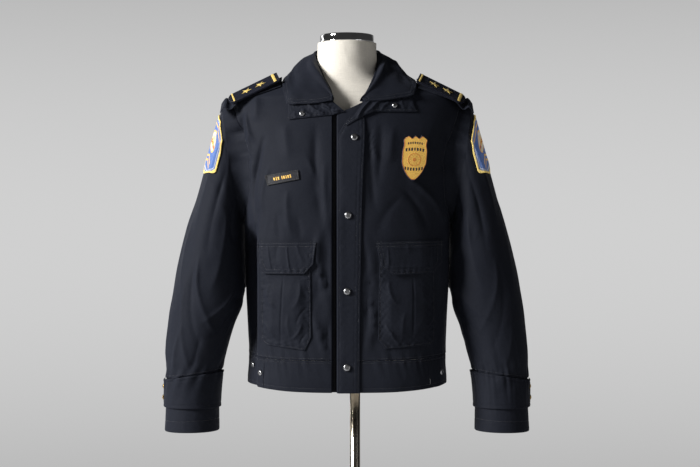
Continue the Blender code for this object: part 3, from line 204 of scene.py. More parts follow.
# Creases of a sleeve: u runs down it in millimetres, v round it in degrees, 90 at the front and 180 inside.
sleeveCreases = (
    (13, 60, 224, 48, 6, 13, 5, 0.5),
    (53, 84, 264, 82, 4, 11, -4.5, 0.5),
    (0, 30, 110, 20, -4, 10, -2.2, 0.5),
    (132, 108, 343, 100, -6, 11, 4.4, 0.6),
    (20, 120, 160, 128, 4, 10, -4.5, 0.7),
    (250, 30, 420, 60, 10, 11, 3, 0.5),
    (304, 70, 462, 118, 14, 9.5, 5.5, 0.8),
    (330, 64, 500, 100, 12, 9, -4.5, 0.6),
    (360, 52, 545, 84, 10, 8.5, 3.6, 0.7),
    (330, 140, 440, 96, -10, 8, 4.2, 0.8),
    (400, 146, 480, 110, -8, 7, -3.6, 0.7),
    (430, 150, 520, 128, -4, 7, 3.6, 0.8),
    (462, 60, 555, 52, 3, 8.5, 3.5, 0.6),
    (470, 96, 560, 88, -3, 7.5, -2.6, 0.6),
    (150, 150, 300, 156, 4, 10, 3, 0.5),
    (200, 200, 420, 190, 4, 11, 2.6, 0.5),
    (40, 290, 251, 300, -6, 13, 4.6, 0.5),
    (92, 262, 290, 268, 5, 11, -4.4, 0.5),
    (60, 236, 210, 226, 4, 10, -3.2, 0.6),
    (330, 300, 436, 250, -12, 10, 5.2, 0.7),
    (383, 310, 488, 262, -12, 9.5, -4.5, 0.6),
    (410, 285, 520, 240, -10, 8.5, 3.8, 0.7),
    (449, 300, 555, 290, 4, 9, 3.4, 0.6),
    (198, 14, 370, 8, 4, 12, 3.2, 0.4),
    (400, 12, 540, 18, -4, 10, 2.8, 0.5),
)
sleeveColumns = ("along", "outerX", "outerZ", "innerX", "innerZ", "middleY", "halfDepth", "square")
sleeveSections = (
    (0.000, 0.2480, 1.4560, 0.2075, 1.2220, 0.000, 0.070, 2.0),
    (0.045, 0.2562, 1.4300, 0.2085, 1.2080, 0.000, 0.074, 2.0),
    (0.120, 0.2700, 1.3800, 0.2092, 1.1960, -0.001, 0.079, 2.0),
    (0.200, 0.2846, 1.3260, 0.2098, 1.1800, -0.003, 0.081, 2.1),
    (0.280, 0.2992, 1.2740, 0.2098, 1.1600, -0.006, 0.081, 2.1),
    (0.360, 0.3114, 1.2300, 0.2092, 1.1380, -0.009, 0.079, 2.1),
    (0.450, 0.3260, 1.1726, 0.2085, 1.1080, -0.013, 0.076, 2.1),
    (0.560, 0.3420, 1.1020, 0.2090, 1.0700, -0.018, 0.073, 2.1),
    (0.680, 0.3530, 1.0300, 0.2240, 1.0190, -0.022, 0.069, 2.1),
    (0.790, 0.3580, 0.9640, 0.2400, 0.9620, -0.025, 0.065, 2.1),
    (0.860, 0.3580, 0.9240, 0.2490, 0.9260, -0.026, 0.062, 2.1),
    (0.930, 0.3585, 0.8700, 0.2535, 0.8700, -0.027, 0.060, 2.1),
    (1.000, 0.3610, 0.8140, 0.2530, 0.8150, -0.028, 0.060, 2.1),
)


# Curves and surfaces on arrays

def curveThrough(columns, rows, column):
    # A monotone cubic through one column of a table, against its first column.
    at = columns.index(column)
    xs = np.array([row[0] for row in rows])
    ys = np.array([row[at] for row in rows])
    steps = np.diff(xs)
    rises = np.diff(ys) / steps
    slopes = np.concatenate(([rises[0]], np.zeros(len(xs) - 2), [rises[-1]]))
    for i in range(1, len(rises)):
        if rises[i - 1] * rises[i] > 0:
            slopes[i] = 2 * rises[i - 1] * rises[i] / (rises[i - 1] + rises[i])

    def read(x):
        x = np.clip(np.asarray(x, dtype=float), xs[0], xs[-1])
        i = np.clip(np.searchsorted(xs, x, side="right") - 1, 0, len(steps) - 1)
        h = steps[i]
        t = (x - xs[i]) / h
        first = ys[i] * (1 + 2 * t) * (1 - t) ** 2 + slopes[i] * h * t * (1 - t) ** 2
        second = ys[i + 1] * t * t * (3 - 2 * t) + slopes[i + 1] * h * t * t * (t - 1)
        return first + second

    return read


def curvesOf(columns, rows):
    return {name: curveThrough(columns, rows, name) for name in columns[1:]}


bodyCurves = curvesOf(sectionColumns, bodySections)
formCurves = curvesOf(sectionColumns, formSections)
sleeveCurves = curvesOf(sleeveColumns, sleeveSections)


def mix(a, b, t):
    return a + (b - a) * t


def smooth(t):
    t = np.clip(t, 0.0, 1.0)
    return t * t * (3 - 2 * t)


def signedPower(value, power):
    return np.sign(value) * np.abs(value) ** power


def unit(vectors):
    return vectors / np.maximum(np.linalg.norm(vectors, axis=-1, keepdims=True), 1e-12)


def ring(curves, theta, z):
    theta, z = np.broadcast_arrays(np.asarray(theta, float), np.asarray(z, float))
    power = 2 / curves["square"](z)
    s, c = np.sin(theta), np.cos(theta)
    depth = np.where(c >= 0, curves["front"](z), curves["back"](z))
    x = curves["halfWidth"](z) * signedPower(s, power)
    return np.stack([x, -depth * signedPower(c, power), z], axis=-1)


def ringLevel(curves, points):
    x, y, z = points[..., 0], points[..., 1], points[..., 2]
    n = curves["square"](z)
    depth = np.where(y <= 0, curves["front"](z), curves["back"](z))
    return np.abs(x / curves["halfWidth"](z)) ** n + np.abs(y / depth) ** n


def ringNormal(curves, points):
    step = 0.0008
    parts = []
    for axis in range(3):
        move = np.zeros(3)
        move[axis] = step
        parts.append(ringLevel(curves, points + move) - ringLevel(curves, points - move))
    return unit(np.stack(parts, axis=-1))


def creaseHeight(rows, u, v):
    # The sum of soft rolls, each along its own bowed line and fading out at both ends. The rows are in
    # millimetres, all else is in metres.
    total = np.zeros(np.broadcast(u, v).shape)
    for *lengths, sharp in rows:
        u0, v0, u1, v1, bow, width, depth = (value / 1000 for value in lengths)
        du, dv = u1 - u0, v1 - v0
        length = math.hypot(du, dv)
        along = ((u - u0) * du + (v - v0) * dv) / length ** 2
        across = ((u - u0) * dv - (v - v0) * du) / length - bow * 4 * along * (1 - along)
        fade = smooth((along + 0.18) / 0.42) * smooth((1.18 - along) / 0.42)
        wide = width * (0.8 + 0.4 * smooth(along))
        soft = np.exp(-(across / wide) ** 2)
        keen = 1 / (1 + (across / (0.55 * wide)) ** 2) ** 1.5
        total = total + depth * fade * mix(soft, keen, sharp)
    return total


def ripple(u, v, seed, wavelength, stretch=1.0, count=9):
    # An uneven field from -1 to 1: a sum of waves in random directions.
    pick = np.random.RandomState(seed)
    total = np.zeros(np.broadcast(u, v).shape)
    for _ in range(count):
        turn = pick.uniform(0, math.tau)
        k = math.tau / wavelength * pick.uniform(0.6, 1.5)
        phase = pick.uniform(0, math.tau)
        total = total + np.cos(k * (u * math.cos(turn) + v / stretch * math.sin(turn)) + phase)
    return total / math.sqrt(count * 2)


def crumple(u, v, seed):
    # Small soft rumples of the cloth, longer down than across.
    broad = ripple(u, v, seed, 0.085, 2.2)
    fine = 1 - np.abs(ripple(u, v, seed + 1, 0.045, 1.8)) * 1.4
    return cloth["crumple"] * (0.70 * broad + 0.35 * fine * smooth(0.5 + 0.6 * ripple(u, v, seed + 2, 0.16)))


def gathers(along, away, seed, wavelength=0.013, reach=0.020):
    # Puckers that a seam draws into the cloth beside it.
    wave = ripple(along, away * 0.25, seed, wavelength, count=5)
    return 0.0015 * wave * np.exp(-np.abs(away) / reach)


def hemHeight(theta):
    return body["hem"] + body["hemRise"] * np.sin(theta) ** 2


def bandSeamHeight(theta):
    return body["bandSeam"] + body["bandRise"] * np.sin(theta) ** 2


armholeMiddle = (body["shoulder"] + body["underarm"]) / 2
armholeHalf = (body["shoulder"] - body["underarm"]) / 2


def armholeLoop(turn, scale=1.0):
    reach = np.where(np.sin(turn) >= 0, body["armholeFront"], body["armholeBack"])
    away = reach * scale * signedPower(np.sin(turn), body["armholeRound"])
    return away, armholeMiddle + armholeHalf * scale * np.cos(turn)


def seamPull(theta, z):
    # Puckers beside the armhole and hem-band seams.
    away = np.abs(np.abs(np.angle(np.exp(1j * theta))) - math.pi / 2)
    reach = np.where(np.cos(theta) >= 0, body["armholeFront"], body["armholeBack"])
    level = np.hypot(away / reach, (z - armholeMiddle) / armholeHalf)
    outside = (level - 1) * 0.10
    roundLoop = np.arctan2(away / reach, (z - armholeMiddle) / armholeHalf) * 0.12
    arm = gathers(roundLoop, outside, 41, 0.016, 0.012) * (np.abs(z - armholeMiddle) < armholeHalf * 1.5)
    band = z - bandSeamHeight(theta)
    return arm * 0.8 + gathers(theta * 0.19, band, 43, 0.014, 0.016) * smooth(np.abs(band) / 0.004)


def bodyHeight(theta, z, points):
    x = points[..., 0]
    front = np.cos(theta) >= 0
    facing = smooth(np.abs(np.cos(theta)) / 0.30)
    creases = np.where(front, creaseHeight(frontCreases, x, z), creaseHeight(backCreases, x, z))
    plain = 1 - smooth(1 - np.abs(x - 0.004) / 0.036) * (front & (z < 1.44))
    calm = 1 - 0.75 * smooth((z - 1.40) / 0.05)
    return facing * creases * plain + (crumple(theta * 0.19, z, 7) * calm + seamPull(theta, z)) * plain


def bodyPoint(theta, z, lift=0.0):
    theta, z = np.broadcast_arrays(np.asarray(theta, float), np.asarray(z, float))
    points = ring(bodyCurves, theta, z)
    normal = ringNormal(bodyCurves, points)
    height = bodyHeight(theta, z, points) + lift
    points = points + normal * height[..., None]
    # The right front ends in a sharp fold, and the side falls back behind it under the arm.
    back = smooth((-points[..., 0] - 0.1738) / 0.0034) * smooth((1.225 - z) / 0.045) * (points[..., 1] < 0)
    points[..., 1] *= 1 - body["sideFall"] * back * mix(0.55, 1.0, smooth((z - 0.955) / 0.05))
    return points


def thetaAt(x, z):
    share = np.minimum(np.abs(x) / bodyCurves["halfWidth"](z), 1.0)
    return np.sign(x) * np.arcsin(share ** (bodyCurves["square"](z) / 2))


def frontPoint(x, z, lift=0.0):
    x, z = np.broadcast_arrays(np.asarray(x, float), np.asarray(z, float))
    return bodyPoint(thetaAt(x, z), z, lift)


def topHeight(x, y):
    low = np.full(np.broadcast(x, y).shape, 1.36)
    high = np.full(low.shape, 1.556)
    for _ in range(30):
        middle = (low + high) / 2
        under = ringLevel(bodyCurves, np.stack(np.broadcast_arrays(x, y, middle), axis=-1)) < 1
        low, high = np.where(under, middle, low), np.where(under, high, middle)
    return low


def sleeveBase(along, turn):
    c = {name: read(along) for name, read in sleeveCurves.items()}
    power = 2 / c["square"]
    across, forward = signedPower(np.cos(turn), power), signedPower(np.sin(turn), power)
    x = (c["outerX"] + c["innerX"]) / 2 + (c["outerX"] - c["innerX"]) / 2 * across
    z = (c["outerZ"] + c["innerZ"]) / 2 + (c["outerZ"] - c["innerZ"]) / 2 * across
    y = c["middleY"] - c["halfDepth"] * forward
    # Below the armhole its inner side lies flat along the body.
    off = np.abs(np.angle(np.exp(1j * (turn - math.radians(200)))))
    near = smooth((math.radians(72) - off) / math.radians(50)) * besideBody(z)
    depth = np.where(y <= 0, bodyCurves["front"](z), bodyCurves["back"](z))
    n = bodyCurves["square"](z)
    beside = bodyCurves["halfWidth"](z) * np.maximum(1 - np.abs(y / depth) ** n, 0.01) ** (1 / n) + 0.0040
    return np.stack([np.where(x > beside, mix(x, beside, near), x), y, z], axis=-1)


def besideBody(z):
    return smooth((z - 1.070) / 0.030) * smooth((1.239 - z) / 0.010)


def cuffSeamAlong(turn):
    return sleeve["cuffSeam"] - 0.004 + sleeve["tilt"] * np.cos(turn)


def sleeveHeight(side, along, turn):
    down = along * sleeve["length"]
    height = 0.0
    degree = math.radians(1000) * sleeve["girth"]
    rows = [(u0, v0 * degree, u1, v1 * degree, *rest) for u0, v0, u1, v1, *rest in sleeveCreases]
    for whole in (-1, 0, 1):
        height = height + creaseHeight(rows, down, (turn + whole * math.tau) * sleeve["girth"])
    uneven = 0.85 + 0.3 * ripple(np.cos(turn) * 0.07 + down, np.sin(turn) * 0.07, 60 + side, 0.20)
    above = smooth((cuffSeamAlong(turn) - along) * sleeve["length"] / 0.035)
    seam = (cuffSeamAlong(turn) - along) * sleeve["length"]
    rumple = crumple(np.sin(turn) * 0.075 + np.cos(turn) * 0.05, down, 17 + side)
    puckers = gathers(turn * sleeve["girth"], seam, 23 + side, 0.015, 0.022)
    puckers = puckers * 1.5 * smooth(np.abs(seam) / 0.003)
    cap = gathers(turn * sleeve["girth"], down, 29 + side, 0.020, 0.016) * smooth(down / 0.006)
    strength = 0.9 if side < 0 else mix(0.9, 0.35, smooth((down - 0.15) / 0.12))
    height = height * uneven * above * strength
    return height + rumple * (0.35 + 0.65 * above) * smooth(down / 0.10) + puckers + cap * 0.7


def sleevePoint(side, along, turn, lift=0.0):
    along, turn = np.broadcast_arrays(np.asarray(along, float), np.asarray(turn, float))
    low, high = np.maximum(along - 0.004, 0.0), np.minimum(along + 0.004, 1.0)
    down = sleeveBase(high, turn) - sleeveBase(low, turn)
    around = sleeveBase(along, turn + 0.02) - sleeveBase(along, turn - 0.02)
    normal = unit(np.cross(around, down))
    base = sleeveBase(along, turn)
    outward = np.sum(normal * (base - sleeveBase(along, turn + math.pi)), axis=-1, keepdims=True)
    normal = np.where(outward < 0, -normal, normal)
    points = base + normal * (sleeveHeight(side, along, turn) + lift)[..., None]
    near = besideBody(points[..., 2])[..., None]
    if np.any(near > 0):
        points = mix(points, clearOf(bodyCurves, points, 0.0030), near)
    return points * np.array([side, 1.0, 1.0])


# Building meshes

def shares(count, start=0.0, end=1.0):
    return np.linspace(start, end, count)


def edgedShares(length, step, roll):
    # Shares of a length with close steps at both ends, where an edge rolls over.
    close = roll / length * np.array([0.0, 0.12, 0.35, 0.65, 1.0])
    inner = shares(max(int(length / step), 4), close[-1], 1 - close[-1])
    return np.concatenate([close[:-1], inner, 1 - close[:-1][::-1]])


def gridNormals(points, closed=False):
    if closed:
        du = np.roll(points, -1, axis=1) - np.roll(points, 1, axis=1)
    else:
        du = np.gradient(points, axis=1)
    dv = np.gradient(points, axis=0)
    return unit(np.cross(du, dv))


def gridFaces(rows, columns, closed, offset=0, flip=False):
    count = columns if closed else columns - 1
    r, c = np.meshgrid(np.arange(rows - 1), np.arange(count), indexing="ij")
    n = (c + 1) % columns
    low, high = r * columns, (r + 1) * columns
    quads = np.stack([low + c, low + n, high + n, high + c], axis=-1)
    quads = quads.reshape(-1, 4) + offset
    return quads[:, ::-1] if flip else quads


def arcUv(points, closed=False):
    # Cloth coordinates in metres: along the rows and across them.
    across = np.linalg.norm(np.diff(points, axis=1), axis=2)
    down = np.linalg.norm(np.diff(points, axis=0), axis=2)
    u = np.concatenate([np.zeros((points.shape[0], 1)), np.cumsum(across, axis=1)], axis=1)
    u = u - u[:, u.shape[1] // 2][:, None]
    v = np.concatenate([np.zeros((1, points.shape[1])), np.cumsum(down, axis=0)], axis=0)
    return np.stack([u, v], axis=-1)


def meshFrom(name, vertices, faces, uv=None, colours=None):
    mesh = bpy.data.meshes.new(name)
    mesh.from_pydata(np.asarray(vertices).tolist(), [], np.asarray(faces).tolist())
    index = np.empty(len(mesh.loops), dtype=np.int32)
    mesh.loops.foreach_get("vertex_index", index)
    if uv is not None:
        layer = mesh.uv_layers.new(name="cloth")
        layer.data.foreach_set("uv", np.asarray(uv)[index].ravel())
    if colours is not None:
        layer = mesh.color_attributes.new("paint", "FLOAT_COLOR", "POINT")
        full = np.concatenate([colours, np.ones((len(colours), 1))], axis=1)
        layer.data.foreach_set("color", full.ravel())
    mesh.shade_smooth()
    mesh.update()
    return mesh


pieces = {}


def place(name, mesh, material, slotName, *nodes):
    piece = bpy.data.objects.new(name, mesh)
    bpy.context.scene.collection.objects.link(piece)
    mesh.materials.clear()
    mesh.materials.append(material)
    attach(piece, "root")
    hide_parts(*nodes)
    pieces[name] = piece
    return piece


def shellMesh(name, points, wall, roll=None, closed=False, flip=False, colours=None, edges="lrbt"):
    # A thin closed wall under an outer surface. Its named edges, left, right, bottom and top, roll over.
    points = np.asarray(points, float)
    points = points + bodyShift
    rows, columns = points.shape[:2]
    normals = gridNormals(points, closed)
    if flip:
        normals = -normals
    roll = roll or cloth["edgeRoll"]
    uv = arcUv(points)
    v, u = uv[..., 1], uv[..., 0]
    away = np.full((rows, columns), 1.0)
    if "b" in edges:
        away = np.minimum(away, v)
    if "t" in edges:
        away = np.minimum(away, v[-1:] - v)
    if not closed:
        if "l" in edges:
            away = np.minimum(away, u - u[:, :1])
        if "r" in edges:
            away = np.minimum(away, u[:, -1:] - u)
    inset = np.clip(away / roll, 0, 1)
    drop = 0.45 * wall * (1 - np.sqrt(np.clip(1 - (1 - inset) ** 2, 0, 1)))
    outer = points - normals * drop[..., None]
    inner = points - normals * (wall - drop)[..., None]
    vertices = np.concatenate([outer.reshape(-1, 3), inner.reshape(-1, 3)])
    count = rows * columns
    faces = [gridFaces(rows, columns, closed, 0, flip), gridFaces(rows, columns, closed, count, not flip)]
    index = np.arange(count).reshape(rows, columns)
    rims = [(index[0], False), (index[-1], True)]
    if not closed:
        rims += [(index[:, 0], True), (index[:, -1], False)]
    for line, turned in rims:
        ends = np.append(line, line[0]) if closed else line
        a, b = ends[:-1], ends[1:]
        quad = np.stack([a, a + count, b + count, b], axis=-1)
        faces.append(quad[:, ::-1] if turned != flip else quad)
    both = np.concatenate([uv.reshape(-1, 2)] * 2)
    if colours is not None:
        colours = np.concatenate([colours.reshape(-1, 3)] * 2)
    return meshFrom(name, vertices, np.concatenate(faces), both, colours)


# Node helpers

class Signal:
    # One node output, with the signs + - * / for maths on it.
    def __init__(self, shader, socket):
        self.shader = shader
        self.socket = socket

    def __add__(self, other):
        return self.shader.maths("ADD", self, other)

    __radd__ = __add__

    def __sub__(self, other):
        return self.shader.maths("SUBTRACT", self, other)

    def __rsub__(self, other):
        return self.shader.maths("SUBTRACT", other, self)

    def __mul__(self, other):
        return self.shader.maths("MULTIPLY", self, other)

    __rmul__ = __mul__

    def __truediv__(self, other):
        return self.shader.maths("DIVIDE", self, other)

    def __rtruediv__(self, other):
        return self.shader.maths("DIVIDE", other, self)


class Finish:
    # A material and the nodes in front of its Principled BSDF.
    def __init__(self, name, **constants):
        self.material = bpy.data.materials.new(name)
        self.material.use_nodes = True
        self.tree = self.material.node_tree
        self.shader = self.tree.nodes["Principled BSDF"]
        for socket, value in constants.items():
            self.shader.inputs[socket.replace("_", " ")].default_value = value

    def node(self, kind, settings=None, sockets=None):
        made = self.tree.nodes.new(kind)
        for key, value in (settings or {}).items():
            setattr(made, key, value)
        for key, value in (sockets or {}).items():
            self.feed(made.inputs[key], value)
        return made

    def feed(self, socket, value):
        if isinstance(value, Signal):
            self.tree.links.new(value.socket, socket)
        else:
            socket.default_value = value

    def maths(self, operation, *values):
        made = self.node("ShaderNodeMath", {"operation": operation}, dict(enumerate(values)))
        return Signal(self, made.outputs[0])

    def clothPlace(self):
        made = self.node("ShaderNodeUVMap", {"uv_map": "cloth"})
        return Signal(self, made.outputs["UV"])

    def place(self):
        made = self.node("ShaderNodeTexCoord")
        return Signal(self, made.outputs["Object"])

    def scaled(self, vector, factors):
        made = self.node("ShaderNodeVectorMath", {"operation": "MULTIPLY"}, {0: vector, 1: factors})
        return Signal(self, made.outputs[0])

    def axis(self, vector, name):
        made = self.node("ShaderNodeSeparateXYZ", None, {0: vector})
        return Signal(self, made.outputs[name])

    def noise(self, vector, scale, detail=3.0, roughness=0.5):
        sockets = {"Vector": vector, "Scale": scale, "Detail": detail, "Roughness": roughness}
        return Signal(self, self.node("ShaderNodeTexNoise", None, sockets).outputs[0])

    def ramp(self, value, low, high, bottom=0.0, top=1.0):
        sockets = {"Value": value, "From Min": low, "From Max": high, "To Min": bottom, "To Max": top}
        return Signal(self, self.node("ShaderNodeMapRange", None, sockets).outputs[0])

    def blend(self, a, b, factor, how="MIX"):
        made = self.node("ShaderNodeMix", {"data_type": "RGBA", "blend_type": how})
        self.feed(made.inputs[0], factor)
        for index, value in ((6, a), (7, b)):
            self.feed(made.inputs[index], value if isinstance(value, Signal) else (*value, 1.0))
        return Signal(self, made.outputs[2])

    def paint(self):
        made = self.node("ShaderNodeAttribute", {"attribute_name": "paint"})
        return Signal(self, made.outputs["Color"])

    def bump(self, height, distance, strength=1.0):
        sockets = {"Height": height, "Distance": distance, "Strength": strength}
        made = self.node("ShaderNodeBump", None, sockets)
        self.tree.links.new(made.outputs[0], self.shader.inputs["Normal"])

    def set(self, socket, value):
        if not isinstance(value, Signal) and socket == "Base Color":
            value = (*value, 1.0)
        self.feed(self.shader.inputs[socket], value)


def clothFinish(name, colour, worn, roughness, sheen=0.06, depth=0.00016):
    # Tightly woven cloth: fine ribs both ways, uneven yarns, a little wear.
    f = Finish(name, Sheen_Weight=sheen, Sheen_Roughness=0.42, Specular_IOR_Level=0.06)
    f.shader.inputs["Sheen Tint"].default_value = (0.55, 0.60, 0.78, 1.0)
    uv = f.clothPlace()
    weft = f.maths("SINE", f.axis(uv, "Y") * cloth["weave"] * math.tau)
    warp = f.maths("SINE", f.axis(uv, "X") * cloth["weave"] * math.tau)
    yarn = f.noise(f.scaled(uv, (900.0, 240.0, 1.0)), 1.0, 2.0)
    grain = f.noise(f.place(), 520.0, 3.0, 0.6)
    cloud = f.noise(f.place(), 7.0, 4.0, 0.55)
    rumple = f.noise(f.place(), 52.0, 3.0, 0.5)
    rub = f.ramp(cloud + (grain - 0.5) * 0.5, 0.42, 0.78)
    slub = f.noise(f.scaled(uv, (330.0, 150.0, 1.0)), 1.0, 2.0)
    f.set("Base Color", f.blend(colour, worn, rub * 0.26 + f.ramp(slub, 0.40, 0.66) * 0.22 + yarn * 0.08))
    f.set("Roughness", roughness + (grain - 0.5) * 0.16 + (cloud - 0.5) * 0.10)
    f.bump(weft * warp * 0.25 + yarn * 0.6 + grain * 0.6 + rumple * 4.5, depth, 0.8)
    return f.material


def threadFinish(name, colour, roughness=0.5, metallic=0.0):
    f = Finish(name, Metallic=metallic, Sheen_Weight=0.2)
    twist = f.noise(f.place(), 1800.0, 2.0)
    f.set("Base Color", f.blend(colour, tuple(0.55 * c for c in colour), twist))
    f.set("Roughness", roughness + (twist - 0.5) * 0.3)
    f.bump(twist, 0.0001)
    return f.material


def embroideryPaintedGlowFinish(name):
    # Satin stitch in the colours painted on the mesh, in fine ribs that shift from patch to patch.
    # It also glows in the same colours: a painted glow that makes the stitches look brightly lit.
    f = Finish(name, Sheen_Weight=0.35, Sheen_Roughness=0.3, Emission_Strength=0.20)
    uv = f.clothPlace()
    bend = f.noise(uv, 60.0, 1.0) * 2.4
    rib = f.maths("SINE", (f.axis(uv, "X") * 0.8 + f.axis(uv, "Y")) * 1750.0 * math.tau / 2 + bend)
    fleck = f.noise(f.place(), 900.0, 2.0)
    shade = f.blend((1.0, 1.0, 1.0), (0.62, 0.60, 0.58), rib * 0.28 + fleck * 0.5)
    f.set("Base Color", f.blend(f.paint(), shade, 0.40, "MULTIPLY"))
    # Painted glow: the emission in the thread colours brightens the stitches as if a lamp lit them.
    f.set("Emission Color", f.paint())
    f.set("Roughness", 0.40 + fleck * 0.25)
    f.bump(rib * 0.6 + fleck * 0.5, 0.00022, 0.9)
    return f.material


def metalFinish(name, colour, tarnish, roughness, scratch=0.12):
    f = Finish(name, Metallic=1.0)
    cloud = f.noise(f.place(), 90.0, 4.0)
    hair = f.noise(f.scaled(f.place(), (1400.0, 1400.0, 160.0)), 1.0, 2.0)
    f.set("Base Color", f.blend(colour, tarnish, f.ramp(cloud, 0.45, 0.75) * 0.7))
    f.set("Roughness", roughness + (hair - 0.5) * scratch + (cloud - 0.5) * 0.10)
    f.bump(hair, 0.00002, 0.5)
    return f.material


def poleFinish(name):
    f = Finish(name, Metallic=1.0)
    hair = f.noise(f.scaled(f.place(), (900.0, 900.0, 14.0)), 1.0, 3.0)
    cloud = f.noise(f.place(), 22.0, 3.0)
    f.set("Base Color", f.blend((0.66, 0.61, 0.52), (0.50, 0.43, 0.33), f.ramp(cloud, 0.35, 0.7)))
    f.set("Roughness", 0.14 + hair * 0.12)
    return f.material


def linenFinish(name, colour):
    f = Finish(name, Sheen_Weight=0.15)
    spot = f.place()
    threadUp = f.noise(f.scaled(spot, (700.0, 700.0, 90.0)), 1.0, 2.0)
    threadRound = f.noise(f.scaled(spot, (90.0, 90.0, 900.0)), 1.0, 2.0)
    cloud = f.noise(spot, 14.0, 3.0)
    weave = threadUp + threadRound
    shade = tuple(0.86 * c for c in colour)
    f.set("Base Color", f.blend(colour, shade, f.ramp(weave + cloud * 0.5, 0.9, 1.6)))
    f.set("Roughness", 0.72 + cloud * 0.15)
    f.bump(weave, 0.00018, 0.8)
    return f.material


def brushedFinish(name):
    f = Finish(name, Metallic=1.0)
    spot = f.place()
    x, y = f.axis(spot, "X"), f.axis(spot, "Y")
    away = f.maths("SQRT", x * x + y * y)
    rings = f.maths("SINE", away * 5200.0)
    fine = f.noise(f.scaled(spot, (60.0, 60.0, 60.0)), 1.0, 5.0)
    f.set("Base Color", f.blend((0.58, 0.57, 0.55), (0.47, 0.46, 0.45), fine))
    f.set("Roughness", 0.30 + fine * 0.12 + rings * 0.03)
    f.bump(rings + fine * 2.0, 0.00004, 0.5)
    return f.material


finishes = {
    "shell": clothFinish("nylonShell", cloth["colour"], cloth["worn"], cloth["roughness"]),
    "board": clothFinish("boardCloth", (0.0072, 0.0080, 0.0140), (0.013, 0.014, 0.023), 0.66, 0.06, 0.00022),
    "inside": clothFinish("zipTape", (0.0060, 0.0066, 0.0100), (0.012, 0.013, 0.018), 0.66, 0.04, 0.00022),
    "thread": threadFinish("seamThread", thread["colour"], 0.42),
    "goldThread": threadFinish("goldThread", embroidery["yellow"], 0.42, 0.15),
    "embroidery": embroideryPaintedGlowFinish("embroidery"),
    "coil": metalFinish("zipTeeth", (0.020, 0.020, 0.022), (0.010, 0.010, 0.011), 0.38),
    "brass": metalFinish("giltBrass", (0.86, 0.57, 0.20), (0.60, 0.37, 0.12), 0.24),
    "nickel": metalFinish("nickelSnap", (0.46, 0.46, 0.47), (0.30, 0.30, 0.30), 0.28),
    "chrome": metalFinish("chromeCap", (0.80, 0.80, 0.81), (0.66, 0.66, 0.67), 0.06, 0.04),
    "pole": poleFinish("polePlating"),
    "linen": linenFinish("formLinen", form["colour"]),
    "steel": brushedFinish("baseSteel"),
}
print("finishes made")


# Pieces of cloth and of embroidery

def clothPiece(name, node, points, wall, **how):
    mesh = shellMesh(name, points, wall, **how)
    return place(name, mesh, finishes["shell"], "shell_nylon", node)


def embroidered(name, node, points, colours, **how):
    mesh = shellMesh(name, points, cloth["trimWall"], colours=colours, **how)
    return place(name, mesh, finishes["embroidery"], "gold_thread", node)


def painter(shape, ground):
    # Colours and heights of an embroidered piece, and a way to fill a masked part of both.
    colours = np.empty(shape + (3,))
    colours[:] = embroidery[ground]
    height = np.zeros(shape)

    def fill(mask, colour, rise=0.0003):
        colours[mask] = embroidery[colour]
        height[mask] = rise

    return colours, height, fill


# Stitches and other small repeated forms

def resample(points, pitch):
    lengths = np.concatenate([[0], np.cumsum(np.linalg.norm(np.diff(points, axis=0), axis=1))])
    count = max(int(lengths[-1] / pitch), 2)
    at = np.linspace(0, lengths[-1], count)
    return np.stack([np.interp(at, lengths, points[:, i]) for i in range(3)], axis=1)


def stitchMesh(name, lines):
    # Each stitch is a short fat thread whose ends dip into the cloth.
    vertices, faces = [], []
    sides = 5
    turns = np.arange(sides) / sides * math.tau
    stations = (
        (-0.5, 0.35, -0.6),
        (-0.34, 0.95, 0.25),
        (0.0, 1.0, 0.75),
        (0.34, 0.95, 0.25),
        (0.5, 0.35, -0.6),
    )
    for points, normals in lines:
        places = resample(points, thread["pitch"])
        ups = resample(points + normals * 0.01, thread["pitch"])
        n = min(len(places), len(ups))
        places, ups = places[:n], unit(ups[:n] - places[:n])
        ahead = unit(np.gradient(places, axis=0))
        ups = unit(ups - ahead * np.sum(ups * ahead, axis=1, keepdims=True))
        beside = np.cross(ahead, ups)
        rings = []
        for shift, size, height in stations:
            middle = places + ahead * shift * thread["length"] + ups * height * thread["radius"]
            r = thread["radius"] * size
            loop = [middle + beside * (r * math.cos(a)) + ups * (r * math.sin(a)) for a in turns]
            rings.append(np.stack(loop, axis=1))
        block = np.stack(rings, axis=1)
        start = sum(len(v) for v in vertices)
        count = len(stations) * sides
        for s in range(len(stations) - 1):
            for i in range(sides):
                j = (i + 1) % sides
                a, b, c, d = s * sides + i, s * sides + j, (s + 1) * sides + j, (s + 1) * sides + i
                faces.append(start + np.arange(n)[:, None] * count + np.array([[a, d, c, b]]))
        vertices.append(block.reshape(-1, 3))
    vertices = np.concatenate(vertices) + bodyShift
    return meshFrom(name, vertices, np.concatenate(faces))


stitchLines = {}


def sew(group, surface, us, vs, lift):
    # A line of stitches on a surface, given by its two parameters.
    low, high = surface(us, vs, lift), surface(us, vs, lift + 0.001)
    stitchLines.setdefault(group, []).append((low, unit(high - low)))


def polyline(corners, step=0.002):
    # Points along straight stretches between corners.
    parts = []
    for (u0, v0), (u1, v1) in zip(corners, corners[1:]):
        count = max(int(math.hypot(u1 - u0, v1 - v0) / step), 2)
        parts.append(np.stack([shares(count, u0, u1), shares(count, v0, v1)], axis=1)[:-1])
    parts.append(np.array([corners[-1]]))
    line = np.concatenate(parts)
    return line[:, 0], line[:, 1]


def insetCorners(corners, inset, closed=False):
    # Moves a bent line to its left by an inset, corner by corner.
    corners = [np.array(c, float) for c in corners]
    moved = []
    for i, corner in enumerate(corners):
        sides = []
        if i > 0 or closed:
            sides.append(corner - corners[i - 1])
        if i < len(corners) - 1 or closed:
            sides.append(corners[(i + 1) % len(corners)] - corner)
        lefts = [np.array([-s[1], s[0]]) / np.linalg.norm(s) for s in sides]
        middle = sum(lefts) / len(lefts)
        moved.append(tuple(corner + middle * inset / max(np.dot(middle, lefts[0]), 0.3)))
    return moved


